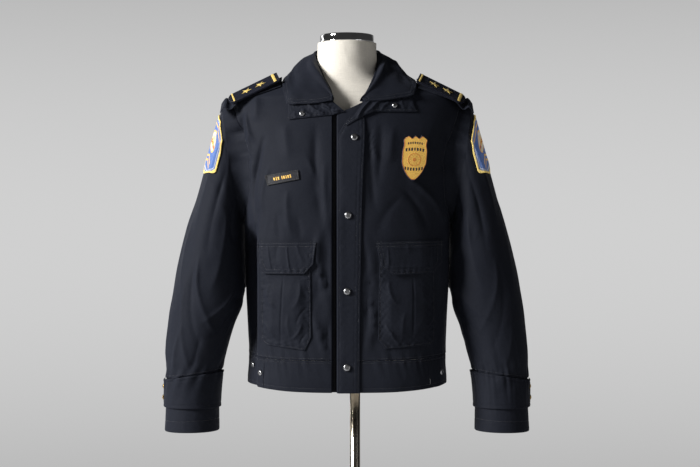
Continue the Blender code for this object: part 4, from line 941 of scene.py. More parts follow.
def latheMesh(name, profile, steps=40):
    # A profile of (radius, height) turned round the axis; a radius of 0 closes it.
    vertices = []
    turns = np.arange(steps) / steps * math.tau
    for r, h in profile:
        vertices.append(np.stack([r * np.cos(turns), r * np.sin(turns), np.full(steps, h)], axis=1))
    mesh = bpy.data.meshes.new(name)
    faces = gridFaces(len(profile), steps, True).tolist()
    mesh.from_pydata(np.concatenate(vertices).tolist(), [], faces)
    work = bmesh.new()
    work.from_mesh(mesh)
    bmesh.ops.remove_doubles(work, verts=work.verts[:], dist=0.000005)
    bmesh.ops.recalc_face_normals(work, faces=work.faces[:])
    work.to_mesh(mesh)
    work.free()
    mesh.shade_smooth()
    return mesh


def surfaceTurn(point, normal):
    across = Vector((0, 0, 1)).cross(normal).normalized()
    up = normal.cross(across)
    return Matrix.Translation(point) @ Matrix((across, up, normal)).transposed().to_4x4()


def moved(mesh, matrix):
    mesh.transform(matrix)
    return mesh


# Body panels

def sideAngle(z, depth):
    return (0.9 * cloth["seamGap"] / depth(z)) ** (bodyCurves["square"](z) / 2)


def panelSideEdge(share, toward):
    depth = bodyCurves["front"] if toward > 0 else bodyCurves["back"]
    low, arm = body["sideShare"], body["armShare"]
    if share <= low:
        z = mix(bandSeamHeight(math.pi / 2) + cloth["seamGap"], body["underarm"], share / low)
        return float(sideAngle(z, depth)), float(z)
    if share <= arm:
        away, z = armholeLoop(toward * math.pi * (1 - (share - low) / (arm - low)))
        return max(abs(float(away)), float(sideAngle(z, depth))), float(z)
    z = mix(body["shoulder"], body["neckSide"], (share - arm) / (1 - arm))
    return float(sideAngle(z, depth)), z


def middleEdgeHeight(share, heights):
    bottom, sideTop, armTop, top = heights
    low, arm = body["sideShare"], body["armShare"]
    return float(np.interp(share, (0, low, arm, 1), (bottom, sideTop, armTop, top)))


frontHeights = (body["bandSeam"] + cloth["seamGap"], 1.225, 1.372, body["neckFront"])
backHeights = (body["bandSeam"] + cloth["seamGap"], body["underarm"], 1.462, body["neckBack"])


def panelShares():
    close = np.array([0.0, 0.0008, 0.0018, 0.0035])
    rows = np.concatenate([close, shares(int(0.56 / cloth["step"]), 0.006, 0.994), 1 - close[::-1]])
    marks = [body["sideShare"], body["armShare"]]
    return np.unique(np.concatenate([rows, marks]))


def easedSideEdge(share, toward):
    # The side edge averaged over the rows around, which keeps a panel's inner rows even.
    near = [panelSideEdge(min(max(share + step, 0.0), 1.0), toward) for step in shares(15, -0.09, 0.09)]
    weights = smooth(1 - np.abs(shares(15, -1, 1)) * 0.95)
    return tuple(float(np.dot(weights, [pair[i] for pair in near]) / weights.sum()) for i in (0, 1))


def panelSide(share, toward, columns):
    # How far one row's side end is from the side line, and its height, eased over the inner columns.
    away, z = panelSideEdge(share, toward)
    easedAway, easedZ = easedSideEdge(share, toward)
    pull = columns ** 6 if 0.05 < share < 0.95 else 1.0
    return mix(easedAway, away, pull), mix(easedZ, z, pull)


def frontPanel(edgeX, side):
    rows = []
    columns = edgedShares(0.20, cloth["step"], cloth["edgeRoll"])
    for share in panelShares():
        away, zSide = panelSide(share, 1, columns)
        zEdge = middleEdgeHeight(share, frontHeights)
        bend = 1 + (body["necklineBend"] - 1) * smooth((share - body["sideShare"]) / (1 - body["sideShare"]))
        theta = mix(side * thetaAt(edgeX, zEdge), math.pi / 2 - away, columns)
        z = mix(zEdge, zSide, 1 - (1 - columns) ** bend)
        if share == 0:
            z = bandSeamHeight(theta) + cloth["seamGap"]
        rows.append(np.stack([side * theta, z])[:, ::side])
    return np.stack(rows, axis=1)


def backPanel():
    rows = []
    columns = edgedShares(0.44, cloth["step"] * 1.15, cloth["edgeRoll"]) * 2 - 1
    for share in panelShares():
        away, zSide = panelSide(share, -1, columns)
        theta = math.pi + columns * (math.pi / 2 - away)
        z = mix(middleEdgeHeight(share, backHeights), zSide, columns ** 2)
        if share == 0:
            z = bandSeamHeight(theta) + cloth["seamGap"]
        rows.append(np.stack([theta, z]))
    return np.stack(rows, axis=1)


def stitchGroove(away, width=0.0009, depth=0.0006):
    return -depth * np.exp(-(away / width) ** 2)


def makePanels():
    for word, edgeX, side in (("right", body["edgeRight"], -1), ("left", body["zipEdge"], 1)):
        theta, z = frontPanel(edgeX, side)
        points = bodyPoint(theta, z)
        piece = clothPiece("front" + word.title(), "front_" + word, points, cloth["wall"])
    theta, z = backPanel()
    piece = clothPiece("backPanel", "back", bodyPoint(theta, z), cloth["wall"])


def bandEnds():
    # Where the hem bands meet: right side, right front edge, left front edge and left side.
    edges = (-body["bandSide"], body["edgeRight"], body["zipEdge"], body["bandSide"])
    return [float(thetaAt(x, body["bandSeam"])) for x in edges]


def makeHemBands():
    sideRight, edgeRight, edgeLeft, sideLeft = bandEnds()
    backStart, backEnd = sideLeft + body["bandGap"], math.tau + sideRight - body["bandGap"]
    bands = (
        ("hemBandRight", "hem_band_right", sideRight, edgeRight, 0.150),
        ("hemBandLeft", "hem_band_left", edgeLeft, sideLeft, 0.195),
        ("hemBandBack", "hem_band_back", backStart, backEnd, 0.62),
    )
    for name, node, start, end, length in bands:
        theta = mix(start, end, edgedShares(length, 0.0026, cloth["edgeRoll"]))[None, :]
        v = edgedShares(0.063, 0.0022, 0.0022)[:, None]
        z = mix(hemHeight(theta), bandSeamHeight(theta), v)
        theta = theta + 0 * v
        lift = stitchGroove((v - 0.13) * 0.063) + stitchGroove((v - 0.93) * 0.063) + 0 * theta
        piece = clothPiece(name, node, bodyPoint(theta, z, lift), cloth["wall"], roll=0.0022)
        line = shares(int(length / 0.002), start + 0.01, end - 0.01)
        for share in (0.13, 0.93):
            sew("hemBands", bodyPoint, line, mix(hemHeight(line), bandSeamHeight(line), share), -0.0004)


def sewPanels():
    # Seam stitches above the band and beside the armholes.
    sideRight, edgeRight, edgeLeft, sideLeft = bandEnds()
    back = (sideLeft, math.tau + sideRight)
    for start, end in ((sideRight + 0.02, edgeRight - 0.02), (edgeLeft + 0.2, sideLeft), back):
        line = shares(int(abs(end - start) * 0.19 / 0.002), start, end)
        sew("bodySeams", bodyPoint, line, bandSeamHeight(line) + 0.0045, 0.0001)
    for side in (-1, 1):
        turns = shares(300, -math.pi * 0.97, math.pi * 0.97)
        away, z = armholeLoop(turns, 1.045)
        sew("bodySeams", bodyPoint, side * (math.pi / 2 - away), z, 0.0001)


def makeZip():
    height = body["neckFront"] + body["zipRise"] - body["hem"] - 0.001
    z = edgedShares(0.54, 0.0040, 0.002)[:, None] * height
    z = z + body["hem"] + 0.001
    left, right = body["edgeRight"] - 0.0020, body["zipEdge"] + 0.0020
    x = shares(25, left, right)[None, :] + 0 * z
    # The tape is sewn on behind the two front edges.
    ribs = 0.00012 * np.cos((x - left) * math.tau / 0.0013) - cloth["wall"] - 0.0004
    mesh = shellMesh("zipTape", frontPoint(x, z + 0 * x, ribs), cloth["wall"])
    piece = place("zipTape", mesh, finishes["inside"], "zip_tape", "zip")
    # Interlocked teeth, the two sides half a pitch apart.
    pitch, middle = 0.0017, (left + right) / 2
    vertices, faces = [], []
    heights = np.arange(float(z[0, 0]) + 0.004, float(z[-1, 0]) - 0.002, pitch / 2)
    for i, height in enumerate(heights):
        shift = 0.0009 if i % 2 else -0.0009
        low = frontPoint(np.array([middle + shift]), np.array([height]), -0.0023)[0]
        out = unit(frontPoint(np.array([middle + shift]), np.array([height]), -0.0013)[0] - low)
        corners = []
        for sx, sz, lift in ((-1, -1, 0), (1, -1, 0), (1, 1, 0), (-1, 1, 0), (-0.7, -0.6, 1), (0.7, -0.6, 1),
                             (0.7, 0.6, 1), (-0.7, 0.6, 1)):
            corners.append(low + np.array([sx * 0.0015, 0, sz * 0.00062]) + out * 0.0011 * lift)
        start = len(vertices)
        vertices += corners
        for quad in ((3, 2, 1, 0), (4, 5, 6, 7), (0, 1, 5, 4), (1, 2, 6, 5), (2, 3, 7, 6), (3, 0, 4, 7)):
            faces.append([start + q for q in quad])
    vertices = np.array(vertices) + bodyShift
    teeth = place("zipTeeth", meshFrom("zipTeeth", vertices, faces), finishes["coil"], "zip_tape", "zip")
    teeth.data.polygons.foreach_set("use_smooth", [False] * len(teeth.data.polygons))


# Sleeves, cuffs, cuff straps and shoulder patches

def sleeveSeamRows(side, turns):
    def onLoop(scale):
        away, z = armholeLoop(turns, scale)
        return bodyPoint(side * (math.pi / 2 - away), z)

    seam, panel = onLoop(sleeve["shrink"]), onLoop(1.09)
    return seam, seam + unit(seam - panel) * sleeve["flat"]


def makeSleeve(side, word):
    turns = np.arange(150) / 150 * math.tau
    seam, flat = sleeveSeamRows(side, turns)
    alongs = np.concatenate([[0.004, 0.010], shares(int(0.57 / cloth["step"]), 0.018, 0.838)])
    rows = [seam, mix(seam, flat, 0.4), flat]
    start = sleevePoint(side, np.full(len(turns), 0.0), turns)
    rows.append(start)
    for along in alongs:
        rows.append(sleevePoint(side, along, turns))
    last = cuffSeamAlong(turns) - cloth["seamGap"] / sleeve["length"]
    for share in (0.45, 0.75, 0.90, 0.97, 1.0):
        rows.append(sleevePoint(side, mix(0.838, last, share), turns))
    name = "sleeve" + word.title()
    piece = clothPiece(name, "sleeve_" + word, np.array(rows), cloth["wall"], closed=True, flip=side < 0)


def makeCuff(side, word):
    turns = np.arange(150) / 150 * math.tau
    first = cuffSeamAlong(turns) + cloth["seamGap"] / sleeve["length"]
    v = np.concatenate([[0, 0.010, 0.03], shares(44, 0.05, 0.95), [0.97, 0.99, 1.0]])[:, None]
    along = mix(first[None, :], 1.0, v)
    lift = stitchGroove((v - 0.80) * 0.092) + 0 * along
    name = "cuff" + word.title()
    points = sleevePoint(side, along, turns[None, :], lift)
    piece = clothPiece(name, "cuff_" + word, points, cloth["wall"], roll=0.0022, closed=True, flip=side < 0)

    def onSleeve(turn, along, lift):
        return sleevePoint(side, along, turn, lift)

    around = shares(190, 0, math.tau)
    sew("sleeves", onSleeve, around, mix(cuffSeamAlong(around), 1.0, 0.80), -0.0004)
    sew("sleeves", onSleeve, around, cuffSeamAlong(around) - 0.007, 0.0001)


def makeCuffStrap(side, word):
    start, end = sleeve["strapTurns"]
    u = edgedShares(0.33, 0.0022, cloth["edgeRoll"])[None, :]
    v = edgedShares(0.048, 0.0018, cloth["edgeRoll"])[:, None]
    turn = mix(start, end, u) + 0 * v
    along = mix(cuffSeamAlong(turn) + 0.002, sleeve["strapEnd"], v)
    raised = sleeve["strapLift"] * smooth((0.25 - turn) / 0.4)
    edge = np.minimum(v, 1 - v) * 0.048
    lift = trimLay + raised + stitchGroove(edge - 0.005)
    name = "cuffStrap" + word.title()
    points = sleevePoint(side, along, turn, lift)
    piece = clothPiece(name, "cuff_strap_" + word, points, cloth["trimWall"], flip=side > 0)
    line = shares(180, start + 0.07, end - 0.05)

    def onStrap(turn, share, lift):
        along = mix(cuffSeamAlong(turn) + 0.002, sleeve["strapEnd"], share)
        raised = sleeve["strapLift"] * smooth((0.25 - turn) / 0.4)
        return sleevePoint(side, along, turn, trimLay + raised + lift)

    for share in (0.105, 0.895):
        sew("cuffStraps", onStrap, line, np.full(len(line), share), -0.0003)
    profile = (
        (0.0, 0.0031), (0.0012, 0.0031), (0.0024, 0.0028), (0.0034, 0.0023), (0.0038, 0.0018),
        (0.0042, 0.0020),
        (0.0047, 0.0018), (0.0049, 0.0011), (0.0046, 0.0004), (0.0040, 0.0), (0.0, 0.0),
    )
    for i, along in enumerate(sleeve["buttons"]):
        turn, seat = sleeve["buttonTurn"], trimLay + sleeve["strapLift"]
        low = sleevePoint(side, along, turn, seat)
        out = unit(sleevePoint(side, along, turn, trimLay + 0.002 + sleeve["strapLift"]) - low)
        matrix = surfaceTurn(Vector(low + bodyShift), Vector(out))
        name = "cuffButton%s%d" % (word.title(), i + 1)
        mesh = moved(latheMesh(name, profile, 32), matrix)
        place(name, mesh, finishes["brass"], "brass", "cuff_button_%s_%d" % (word, i + 1))


def makeShoulderPatch(side, word):
    # A generic patch: yellow border, blue field, a gold ring round a white disc with a red bar and gold
    # rays, and two gold chevrons below.
    v = edgedShares(0.110, 0.0009, 0.0012)[:, None]
    u = edgedShares(0.090, 0.0009, 0.0012)[None, :]
    rounded = np.minimum(smooth(v / 0.42) ** 0.5, 1.0) * (1 - 0.10 * smooth((v - 0.75) / 0.25))
    half = sleeve["patchHalf"] * rounded + 0.01
    middle = sleeve["patchMiddle"] - 0.01
    turn = mix(middle - half, middle + half + 0.01, u)
    top, bottom = sleeve["patchAlong"]
    along = mix(bottom, top, v) + 0 * turn
    x = (turn - middle) * sleeve["girth"]
    z = (0.5 - (along - top) / (bottom - top)) * 0.110
    across = half * sleeve["girth"] - np.abs(x)
    rim = np.minimum(np.minimum(across, (0.055 - z) * 0.9), (z + 0.055) * 0.55 + 0 * across)
    colours, height, fill = painter(x.shape, "blue")
    fill((rim > 0.0060) & (rim < 0.0072), "white", 0.0002)
    away = np.hypot(x, z - 0.010)
    fill(away < 0.0200, "gold")
    fill(away < 0.0170, "white", 0.0002)
    fill((away < 0.0170) & (np.abs(z - 0.006) < 0.0035), "red")
    ray = (np.abs(np.sin(np.arctan2(z - 0.010, x) * 5)) > 0.55) & (away < 0.0105)
    fill(ray, "gold", 0.0004)
    for level in (-0.018, -0.027):
        chevron = np.abs(z - level + 0.35 * np.abs(x)) < 0.0019
        fill(chevron & (np.abs(x) < 0.019) & (rim > 0.009), "gold")
    fill((np.abs(z - 0.040) < 0.0022) & (rim > 0.009), "gold")
    fill(rim < 0.0040, "yellow", 0.0006)
    name = "shoulderPatch" + word.title()
    points = sleevePoint(side, along, turn, trimLay + height)
    piece = embroidered(name, "shoulder_patch_" + word, points, colours, roll=0.0012, flip=side > 0)
    piece.data.flip_normals()


# Pieces that lie on the fronts: each row is one level, from its left to its right end

outlines = {
    "placket": (
        (-0.0182, 0.8965, 0.0250, 0.8965),
        (-0.0186, 1.0000, 0.0250, 1.0000),
        (-0.0186, 1.1500, 0.0272, 1.1500),
        (-0.0186, 1.2800, 0.0298, 1.2800),
        (-0.0184, 1.3900, 0.0350, 1.3900),
        (-0.0050, 1.4140, 0.0350, 1.4140),
        (0.0055, 1.4275, 0.0340, 1.4290),
    ),
    "pocketRight": (
        (-0.1560, 0.9880, -0.0800, 0.9780),
        (-0.1650, 0.9980, -0.0680, 1.0040),
        (-0.1660, 1.0800, -0.0690, 1.0800),
        (-0.1650, 1.1800, -0.0700, 1.1800),
    ),
    "flapRight": (
        (-0.1570, 1.1253, -0.0815, 1.1253),
        (-0.1680, 1.1445, -0.0640, 1.1445),
        (-0.1715, 1.1867, -0.0595, 1.1867),
    ),
    "pocketLeft": (
        (0.0735, 0.9810, 0.1620, 0.9880),
        (0.0600, 1.0000, 0.1700, 0.9960),
        (0.0610, 1.0800, 0.1700, 1.0800),
        (0.0640, 1.1800, 0.1690, 1.1800),
    ),
    "flapLeft": (
        (0.0880, 1.1235, 0.1670, 1.1275),
        (0.0645, 1.1400, 0.1800, 1.1460),
        (0.0560, 1.1867, 0.1820, 1.1895),
    ),
    "nameTag": (
        (-0.1528, 1.2954, -0.0905, 1.3066),
        (-0.1566, 1.3149, -0.0930, 1.3248),
    ),
}
lapels = {
    "right": {
        "bottom": (
            (-0.1124, 1.4225), (-0.0736, 1.4268), (-0.0252, 1.4317), (-0.0116, 1.4365), (-0.0030, 1.4375),
        ),
        "top": ((-0.1143, 1.4570), (-0.0600, 1.4600), (-0.0300, 1.4610)),
    },
    "left": {
        "bottom": ((-0.0014, 1.4084), (0.0349, 1.4301), (0.0543, 1.4375), (0.1357, 1.4384)),
        "top": ((0.0345, 1.4590), (0.0600, 1.4660), (0.1246, 1.4740)),
    },
}
badgeProfile = (
    (0.00, 0.0020),
    (0.10, 0.0115),
    (0.25, 0.0195),
    (0.45, 0.0245),
    (0.65, 0.0245),
    (0.82, 0.0225),
    (0.93, 0.0235),
    (1.00, 0.0190),
)


def laidGrid(table, step, roll):
    # A fine grid of x and z inside an outline, and each point's distance from its edge.
    table = np.array(table, float)
    height = table[-1, 1] - table[0, 1]
    width = np.max(table[:, 2] - table[:, 0])
    v = np.unique(edgedShares(height, step, roll))
    levels = (table[:, 1] + table[:, 3]) / 2
    at = (levels - levels[0]) / (levels[-1] - levels[0])
    left, zLeft, right, zRight = (np.interp(v, at, table[:, i])[:, None] for i in range(4))
    u = edgedShares(width, step, roll)[None, :]
    return mix(left, right, u), mix(zLeft, zRight, u), u + 0 * v[:, None], v[:, None] + 0 * u


def outlineCorners(table):
    # Round an outline, from its top left down and up to its top right.
    left = [(row[0], row[1]) for row in table[::-1]]
    right = [(row[2], row[3]) for row in table]
    return left + right


def edgeAway(x, z, corners):
    # The distance from the nearest stretch of a bent line.
    away = np.full(np.broadcast(x, z).shape, 1.0)
    for (x0, z0), (x1, z1) in zip(corners, corners[1:]):
        dx, dz = x1 - x0, z1 - z0
        t = np.clip(((x - x0) * dx + (z - z0) * dz) / (dx * dx + dz * dz), 0, 1)
        away = np.minimum(away, np.hypot(x - x0 - t * dx, z - z0 - t * dz))
    return away


def edgePucker(x, z, away, seed):
    # Small puckers that edge stitching draws up, strongest just inside the stitches.
    wave = ripple(x, z, seed, 0.011, count=6)
    return 0.0010 * wave * smooth(away / 0.004) * np.exp(-away / 0.012)


flapCreases = {
    "right": (
        (-150, 1182, -143, 1135, 1, 2.4, 1.8, 0.8),
        (-114, 1178, -108, 1132, 1, 2.2, 1.8, 0.9),
        (-130, 1182, -134, 1150, 2, 6, -1.2, 0.5),
        (-95, 1182, -84, 1150, 2, 6, 1.2, 0.6),
    ),
    "left": (
        (78, 1176, 163, 1177, 1, 3, 1, 0.8),
        (79, 1138, 160, 1139, -1, 3, 1, 0.8),
        (78, 1175, 80, 1140, 0, 3, 1, 0.8),
        (162, 1176, 160, 1140, 0, 3, 1, 0.8),
        (115, 1184, 118, 1165, 0, 5, 0.8, 0.6),
    ),
}
pocketCreases = {
    "right": (
        (-122, 1118, -127, 996, 0, 1.4, -1.7, 0.4),
        (-150, 1100, -140, 1062, 6, 6, 2.2, 0.7),
        (-90, 1110, -100, 1060, -5, 6.5, 2, 0.6),
        (-78, 1060, -96, 1030, 3, 4.5, -1.6, 0.7),
        (-155, 1030, -136, 1004, 3, 5, 2.2, 0.8),
        (-86, 1028, -104, 1000, -3, 5, 2, 0.8),
        (-160, 1008, -145, 996, 1, 3, -1.2, 0.8),
        (-78, 1010, -90, 993, 1, 3, -1.3, 0.8),
        (-112, 1045, -108, 1000, 2, 6, 1.4, 0.6),
    ),
    "left": (
        (127, 1120, 126, 1008, 0, 1.4, -1.7, 0.4),
        (80, 1110, 92, 1070, 4, 6, 1.8, 0.6),
        (163, 1110, 150, 1070, -4, 6, 2, 0.6),
        (167, 1072, 152, 1052, 2, 3.5, -1.6, 0.8),
        (166, 1045, 148, 1022, -3, 4, 2, 0.8),
        (164, 1020, 150, 1000, 2, 3.5, -1.4, 0.8),
        (74, 1030, 92, 1006, 3, 4.5, 1.8, 0.8),
        (84, 1012, 100, 992, 2, 3.5, 1.4, 0.8),
        (110, 1050, 106, 1004, 2, 6, 1.2, 0.6),
    ),
}


def sewInside(group, corners, insets, lift):
    for inset in insets:
        x, z = polyline(insetCorners(corners, inset))
        sew(group, frontPoint, x, z, lift(x, z))


def makePlacket():
    table = outlines["placket"]
    x, z = laidGrid(table, 0.0020, cloth["edgeRoll"])[:2]
    right = outlineCorners(table)[len(table):]
    left = outlineCorners(table)[:len(table)]
    awayRight, awayLeft = edgeAway(x, z, right), edgeAway(x, z, left)

    def lift(x, z):
        return cloth["layGap"] + placket["wall"] + 0 * x

    grooves = stitchGroove(awayRight - 0.0035) + stitchGroove(awayRight - 0.0105)
    grooves = grooves + stitchGroove(awayLeft - 0.004)
    pucker = edgePucker(x, z, awayRight, 71) * 0.8 + edgePucker(x, z, awayLeft, 72) * 0.6
    around = sum(np.exp(-(np.hypot(x - sx, z - sz) / 0.013) ** 2) for sx, sz in placket["snaps"])
    swell = 0.0008 * smooth(awayRight / 0.012) * smooth(awayLeft / 0.010) * (1 - np.clip(around, 0, 1))
    roll = 0.0007 * ripple(x * 0.4, z, 74, 0.10)
    points = frontPoint(x, z, lift(x, z) + grooves + pucker * 0.6 + swell + roll * smooth(awayLeft / 0.02))
    piece = clothPiece("placketFly", "placket", points, placket["wall"])
    for line, insets in ((right, (0.0035, 0.0105)), (left, (0.004,))):
        for inset in insets:
            sx, sz = polyline(insetCorners(line, inset))
            sew("placket", frontPoint, sx, sz, lift(sx, sz) - 0.0003)


def pocketLift(table, x, z):
    left, right = min(row[0] for row in table), max(row[2] for row in table)
    bottom = min(row[1] for row in table)
    inset = np.minimum(x - left - 0.004, right - x - 0.004)
    crown = smooth(inset / 0.022) * smooth((z - bottom - 0.010) / 0.03) * smooth((1.118 - z) / 0.035)
    return trimLay + 0.0045 * crown


def makePocket(word):
    side = word.title()
    table = outlines["pocket" + side]
    x, z = laidGrid(table, 0.0016, cloth["edgeRoll"])[:2]
    corners = outlineCorners(table)
    away = edgeAway(x, z, corners)
    height = pocketLift(table, x, z) + stitchGroove(away - 0.0030) + edgePucker(x, z, away, 81 + len(word))
    under = smooth((1.128 - z) / 0.012)
    height = height + under * smooth(away / 0.006) * (
        creaseHeight(pocketCreases[word], x, z) + 0.6 * crumple(x * 1.6, z * 1.6, 85 + len(word)))
    name = "pocket" + side
    piece = clothPiece(name, "pocket_" + word, frontPoint(x, z, height), cloth["trimWall"])
    sewInside("pockets", corners, (0.0030,), lambda sx, sz: pocketLift(table, sx, sz) - 0.0003)


def makeFlap(word):
    side = word.title()
    table = outlines["flap" + side]
    x, z = laidGrid(table, 0.0014, cloth["edgeRoll"])[:2]
    corners = outlineCorners(table)
    away = edgeAway(x, z, corners)
    top = edgeAway(x, z, [corners[0], corners[-1]])
    drape = 0.0012 * smooth((1.178 - z) / 0.04)
    height = 2 * trimLay + 0.0008 + drape + stitchGroove(away - 0.0028)
    height = height + stitchGroove(away - 0.0090, 0.0008, 0.0003)
    height = height + stitchGroove(top - 0.0028) + stitchGroove(top - 0.0085)
    height = height + edgePucker(x, z, away, 91 + len(word)) * 0.9
    height = height + creaseHeight(flapCreases[word], x, z) * smooth(away / 0.006)
    height = height + 0.35 * crumple(x * 1.5, z * 1.5, 95 + len(word))
    name = "flap" + side
    piece = clothPiece(name, "flap_" + word, frontPoint(x, z, height), cloth["trimWall"])

    def flapLift(sx, sz):
        return 2 * trimLay + 0.0005 + 0.0012 * smooth((1.178 - sz) / 0.04)

    sewInside("pockets", corners, (0.0028, 0.0090), flapLift)
    ends = [corners[-1], corners[0]]
    for inset in (0.0028, 0.0085):
        sx, sz = polyline(insetCorners(ends, inset))
        sew("pockets", frontPoint, sx, sz, flapLift(sx, sz))


def alongBent(points, share):
    xs, zs = [p[0] for p in points], [p[1] for p in points]
    x = mix(xs[0], xs[-1], share)
    return x, np.interp(x, xs, zs)


lapelCreases = {
    "right": (
        (-78, 1455, -40, 1432, 3, 5, 4, 0.8),
        (-60, 1458, -28, 1438, -3, 4.5, -3, 0.8),
        (-45, 1446, -8, 1440, 3, 4, 3.6, 0.9),
        (-86, 1442, -66, 1428, 1, 4.5, -2.2, 0.8),
        (-100, 1440, -98, 1424, 1, 5, 1.4, 0.6),
    ),
    "left": (
        (50, 1462, 20, 1424, 3, 5, 3.6, 0.8),
        (66, 1464, 36, 1434, -2, 5, -2.6, 0.8),
        (84, 1458, 66, 1440, 2, 5.5, 2.6, 0.7),
        (106, 1462, 112, 1442, 2, 6, 1.6, 0.6),
    ),
}


def makeLapel(word):
    shape = lapels[word]
    u = edgedShares(0.125, 0.0014, cloth["edgeRoll"])[None, :]
    v = edgedShares(0.035, 0.0012, cloth["edgeRoll"])[:, None]
    low, high = alongBent(shape["bottom"], u), alongBent(shape["top"], u)
    x, z = mix(low[0], high[0], v), mix(low[1], high[1], v)

    def lapelLift(x):
        if word == "right":
            return 0.0010 + cloth["trimWall"] + 0 * x
        over = cloth["layGap"] + placket["wall"] + 0.0009 + cloth["trimWall"]
        return mix(over, 0.0014 + cloth["trimWall"], smooth((x - 0.046) / 0.03))

    away = edgeAway(x, z, list(shape["bottom"]))
    ends = edgeAway(x, z, [shape["bottom"][0], shape["top"][0]])
    ends = np.minimum(ends, edgeAway(x, z, [shape["bottom"][-1], shape["top"][-1]]))
    inside = smooth(away / 0.003)
    folds = np.abs(creaseHeight(lapelCreases[word], x, z))
    height = lapelLift(x) + stitchGroove(away - 0.0035) + folds * inside
    height = height + 0.0009 * np.abs(ripple(x, z, 101 + len(word), 0.018)) * inside * smooth(ends / 0.006)
    name = "lapel" + word.title()
    piece = clothPiece(name, "lapel_" + word, frontPoint(x, z, height), cloth["trimWall"])
    sx, sz = polyline(insetCorners(list(shape["bottom"]), 0.0035))
    sew("lapels", frontPoint, sx, sz, lapelLift(sx) + 0.0004)


# Embroidered pieces with generic motifs, painted and raised by the same masks

# Marks on the name tag in millimetres: middle, width and half height.
tagMarks = (
    (-15.8, 2.4, 2.7), (-11.4, 1.5, 3.2), (-7.4, 2.4, 2.5),
    (-0.6, 1.5, 3.2), (3.3, 2.5, 2.6), (7.5, 1.5, 3.2), (11.4, 2.5, 2.8), (15.6, 1.6, 3.2),
)
# Rows of bars on the badge: height, reach to each side, bend and pitch.
badgeRows = ((0.0310, 0.0165, -9, 0.0044), (0.0185, 0.0190, -6, 0.0054), (-0.0205, 0.0175, 7, 0.0054))


def makeNameTag():
    table = outlines["nameTag"]
    x, z, u, v = laidGrid(table, 0.0006, 0.0010)
    across, up = (u - 0.5) * 0.063, (v - 0.5) * 0.019
    rim = np.minimum(0.0315 - np.abs(across), 0.0095 - np.abs(up))
    colours, height, fill = painter(x.shape, "tagCloth")
    fill(rim < 0.0016, "tagEdge", 0.0005)
    # Plain gold stitched marks: uneven upright bars in two groups.
    for middle, wide, high in tagMarks:
        bar = (np.abs(across + 0.12 * up - middle / 1000) < wide / 1900) & (np.abs(up) < high / 1000)
        fill(bar, "gold", 0.0004)
    embroidered("nameTag", "name_tag", frontPoint(x, z, trimLay + height), colours, roll=0.0010)


def makeBadge():
    halfWidth = curveThrough(("share", "half"), badgeProfile, "half")
    v = edgedShares(badge["height"], 0.0006, 0.0010)[:, None]
    u = edgedShares(0.049, 0.0006, 0.0010)[None, :] * 2 - 1
    half = halfWidth(v)
    across, up = half * u, (v - 0.5) * badge["height"] + 0 * u
    notch = 0.0022 * smooth((v - 0.86) / 0.14) * np.cos(u * math.tau * 1.5)
    x = badge["centre"][0] + badge["lean"] * up + across
    z = badge["centre"][1] + up + notch
    rim = np.minimum(half - np.abs(across), badge["height"] / 2 - up)
    rim = np.minimum(rim, (up + badge["height"] / 2) * 0.7 + 0 * u)
    colours, height, fill = painter(x.shape, "gold")
    height[:] = 0.0005
    away = np.hypot(across, (up + 0.002))
    fill((away > 0.0112) & (away < 0.0128), "orange", 0.0008)
    turn = np.arctan2(up + 0.002, across)
    spokes = (np.abs(np.sin(turn * 6)) < 0.24) & (away > 0.0050) & (away < 0.0108)
    fill(spokes, "orange", 0.0007)
    fill(away < 0.0036, "orange", 0.0008)
    # Three rows of short upright bars.
    for level, reach, bend, pitch in badgeRows:
        row = np.abs(up - level - across ** 2 * bend) < (0.0022 if level > 0.03 else 0.0030)
        gaps = np.abs(np.mod(across + pitch / 2, pitch) - pitch / 2) < pitch * 0.30
        fill(row & gaps & (np.abs(across) < reach), "navy", 0.0003)
    fill((rim > 0.0014) & (rim < 0.0026), "orange", 0.0008)
    fill(rim < 0.0014, "navy", 0.0004)
    embroidered("chestBadge", "chest_badge", frontPoint(x, z, trimLay + height), colours, roll=0.0010)


def makeSnaps():
    r, h = snap["radius"], snap["height"]
    profile = (
        (0.0, 0.90 * h), (0.25 * r, 0.92 * h), (0.50 * r, 0.96 * h), (0.68 * r, 0.90 * h),
        (0.84 * r, 0.68 * h),
        (0.95 * r, 0.38 * h), (r, 0.14 * h), (0.98 * r, 0.02 * h), (0.90 * r, 0.0), (0.0, 0.0),
    )
    lift = cloth["layGap"] + placket["wall"] + cloth["layGap"]
    seats = [("placketSnap%d" % (i + 1), "placket_snap_%d" % (i + 1), x, z, lift, 1.0)
             for i, (x, z) in enumerate(placket["snaps"])]
    small = snap["small"] / r
    seats += [
        ("lapelSnapRight", "lapel_snap_right", -0.0862, 1.4340, 0.0010 + cloth["trimWall"] + 0.0012, small),
        ("lapelSnapLeft", "lapel_snap_left", 0.0920, 1.4500, 0.0014 + cloth["trimWall"] + 0.0012, small),
        ("hemSnapRight1", "hem_snap_right_1", -0.1680, 0.9330, 0.0003, small),
        ("hemSnapRight2", "hem_snap_right_2", -0.1850, 0.9450, 0.0003, small),
        ("hemSnapLeft", "hem_snap_left", 0.1840, 0.9330, 0.0003, small),
    ]
    for name, node, x, z, up, size in seats:
        point = frontPoint(x, z, up)
        base = ring(bodyCurves, thetaAt(x, z), z)
        matrix = surfaceTurn(Vector(point + bodyShift), Vector(ringNormal(bodyCurves, base)))
        mesh = moved(latheMesh(name, [(a * size, b * size) for a, b in profile], 40), matrix)
        place(name, mesh, finishes["nickel"], "nickel", node)


# Collar

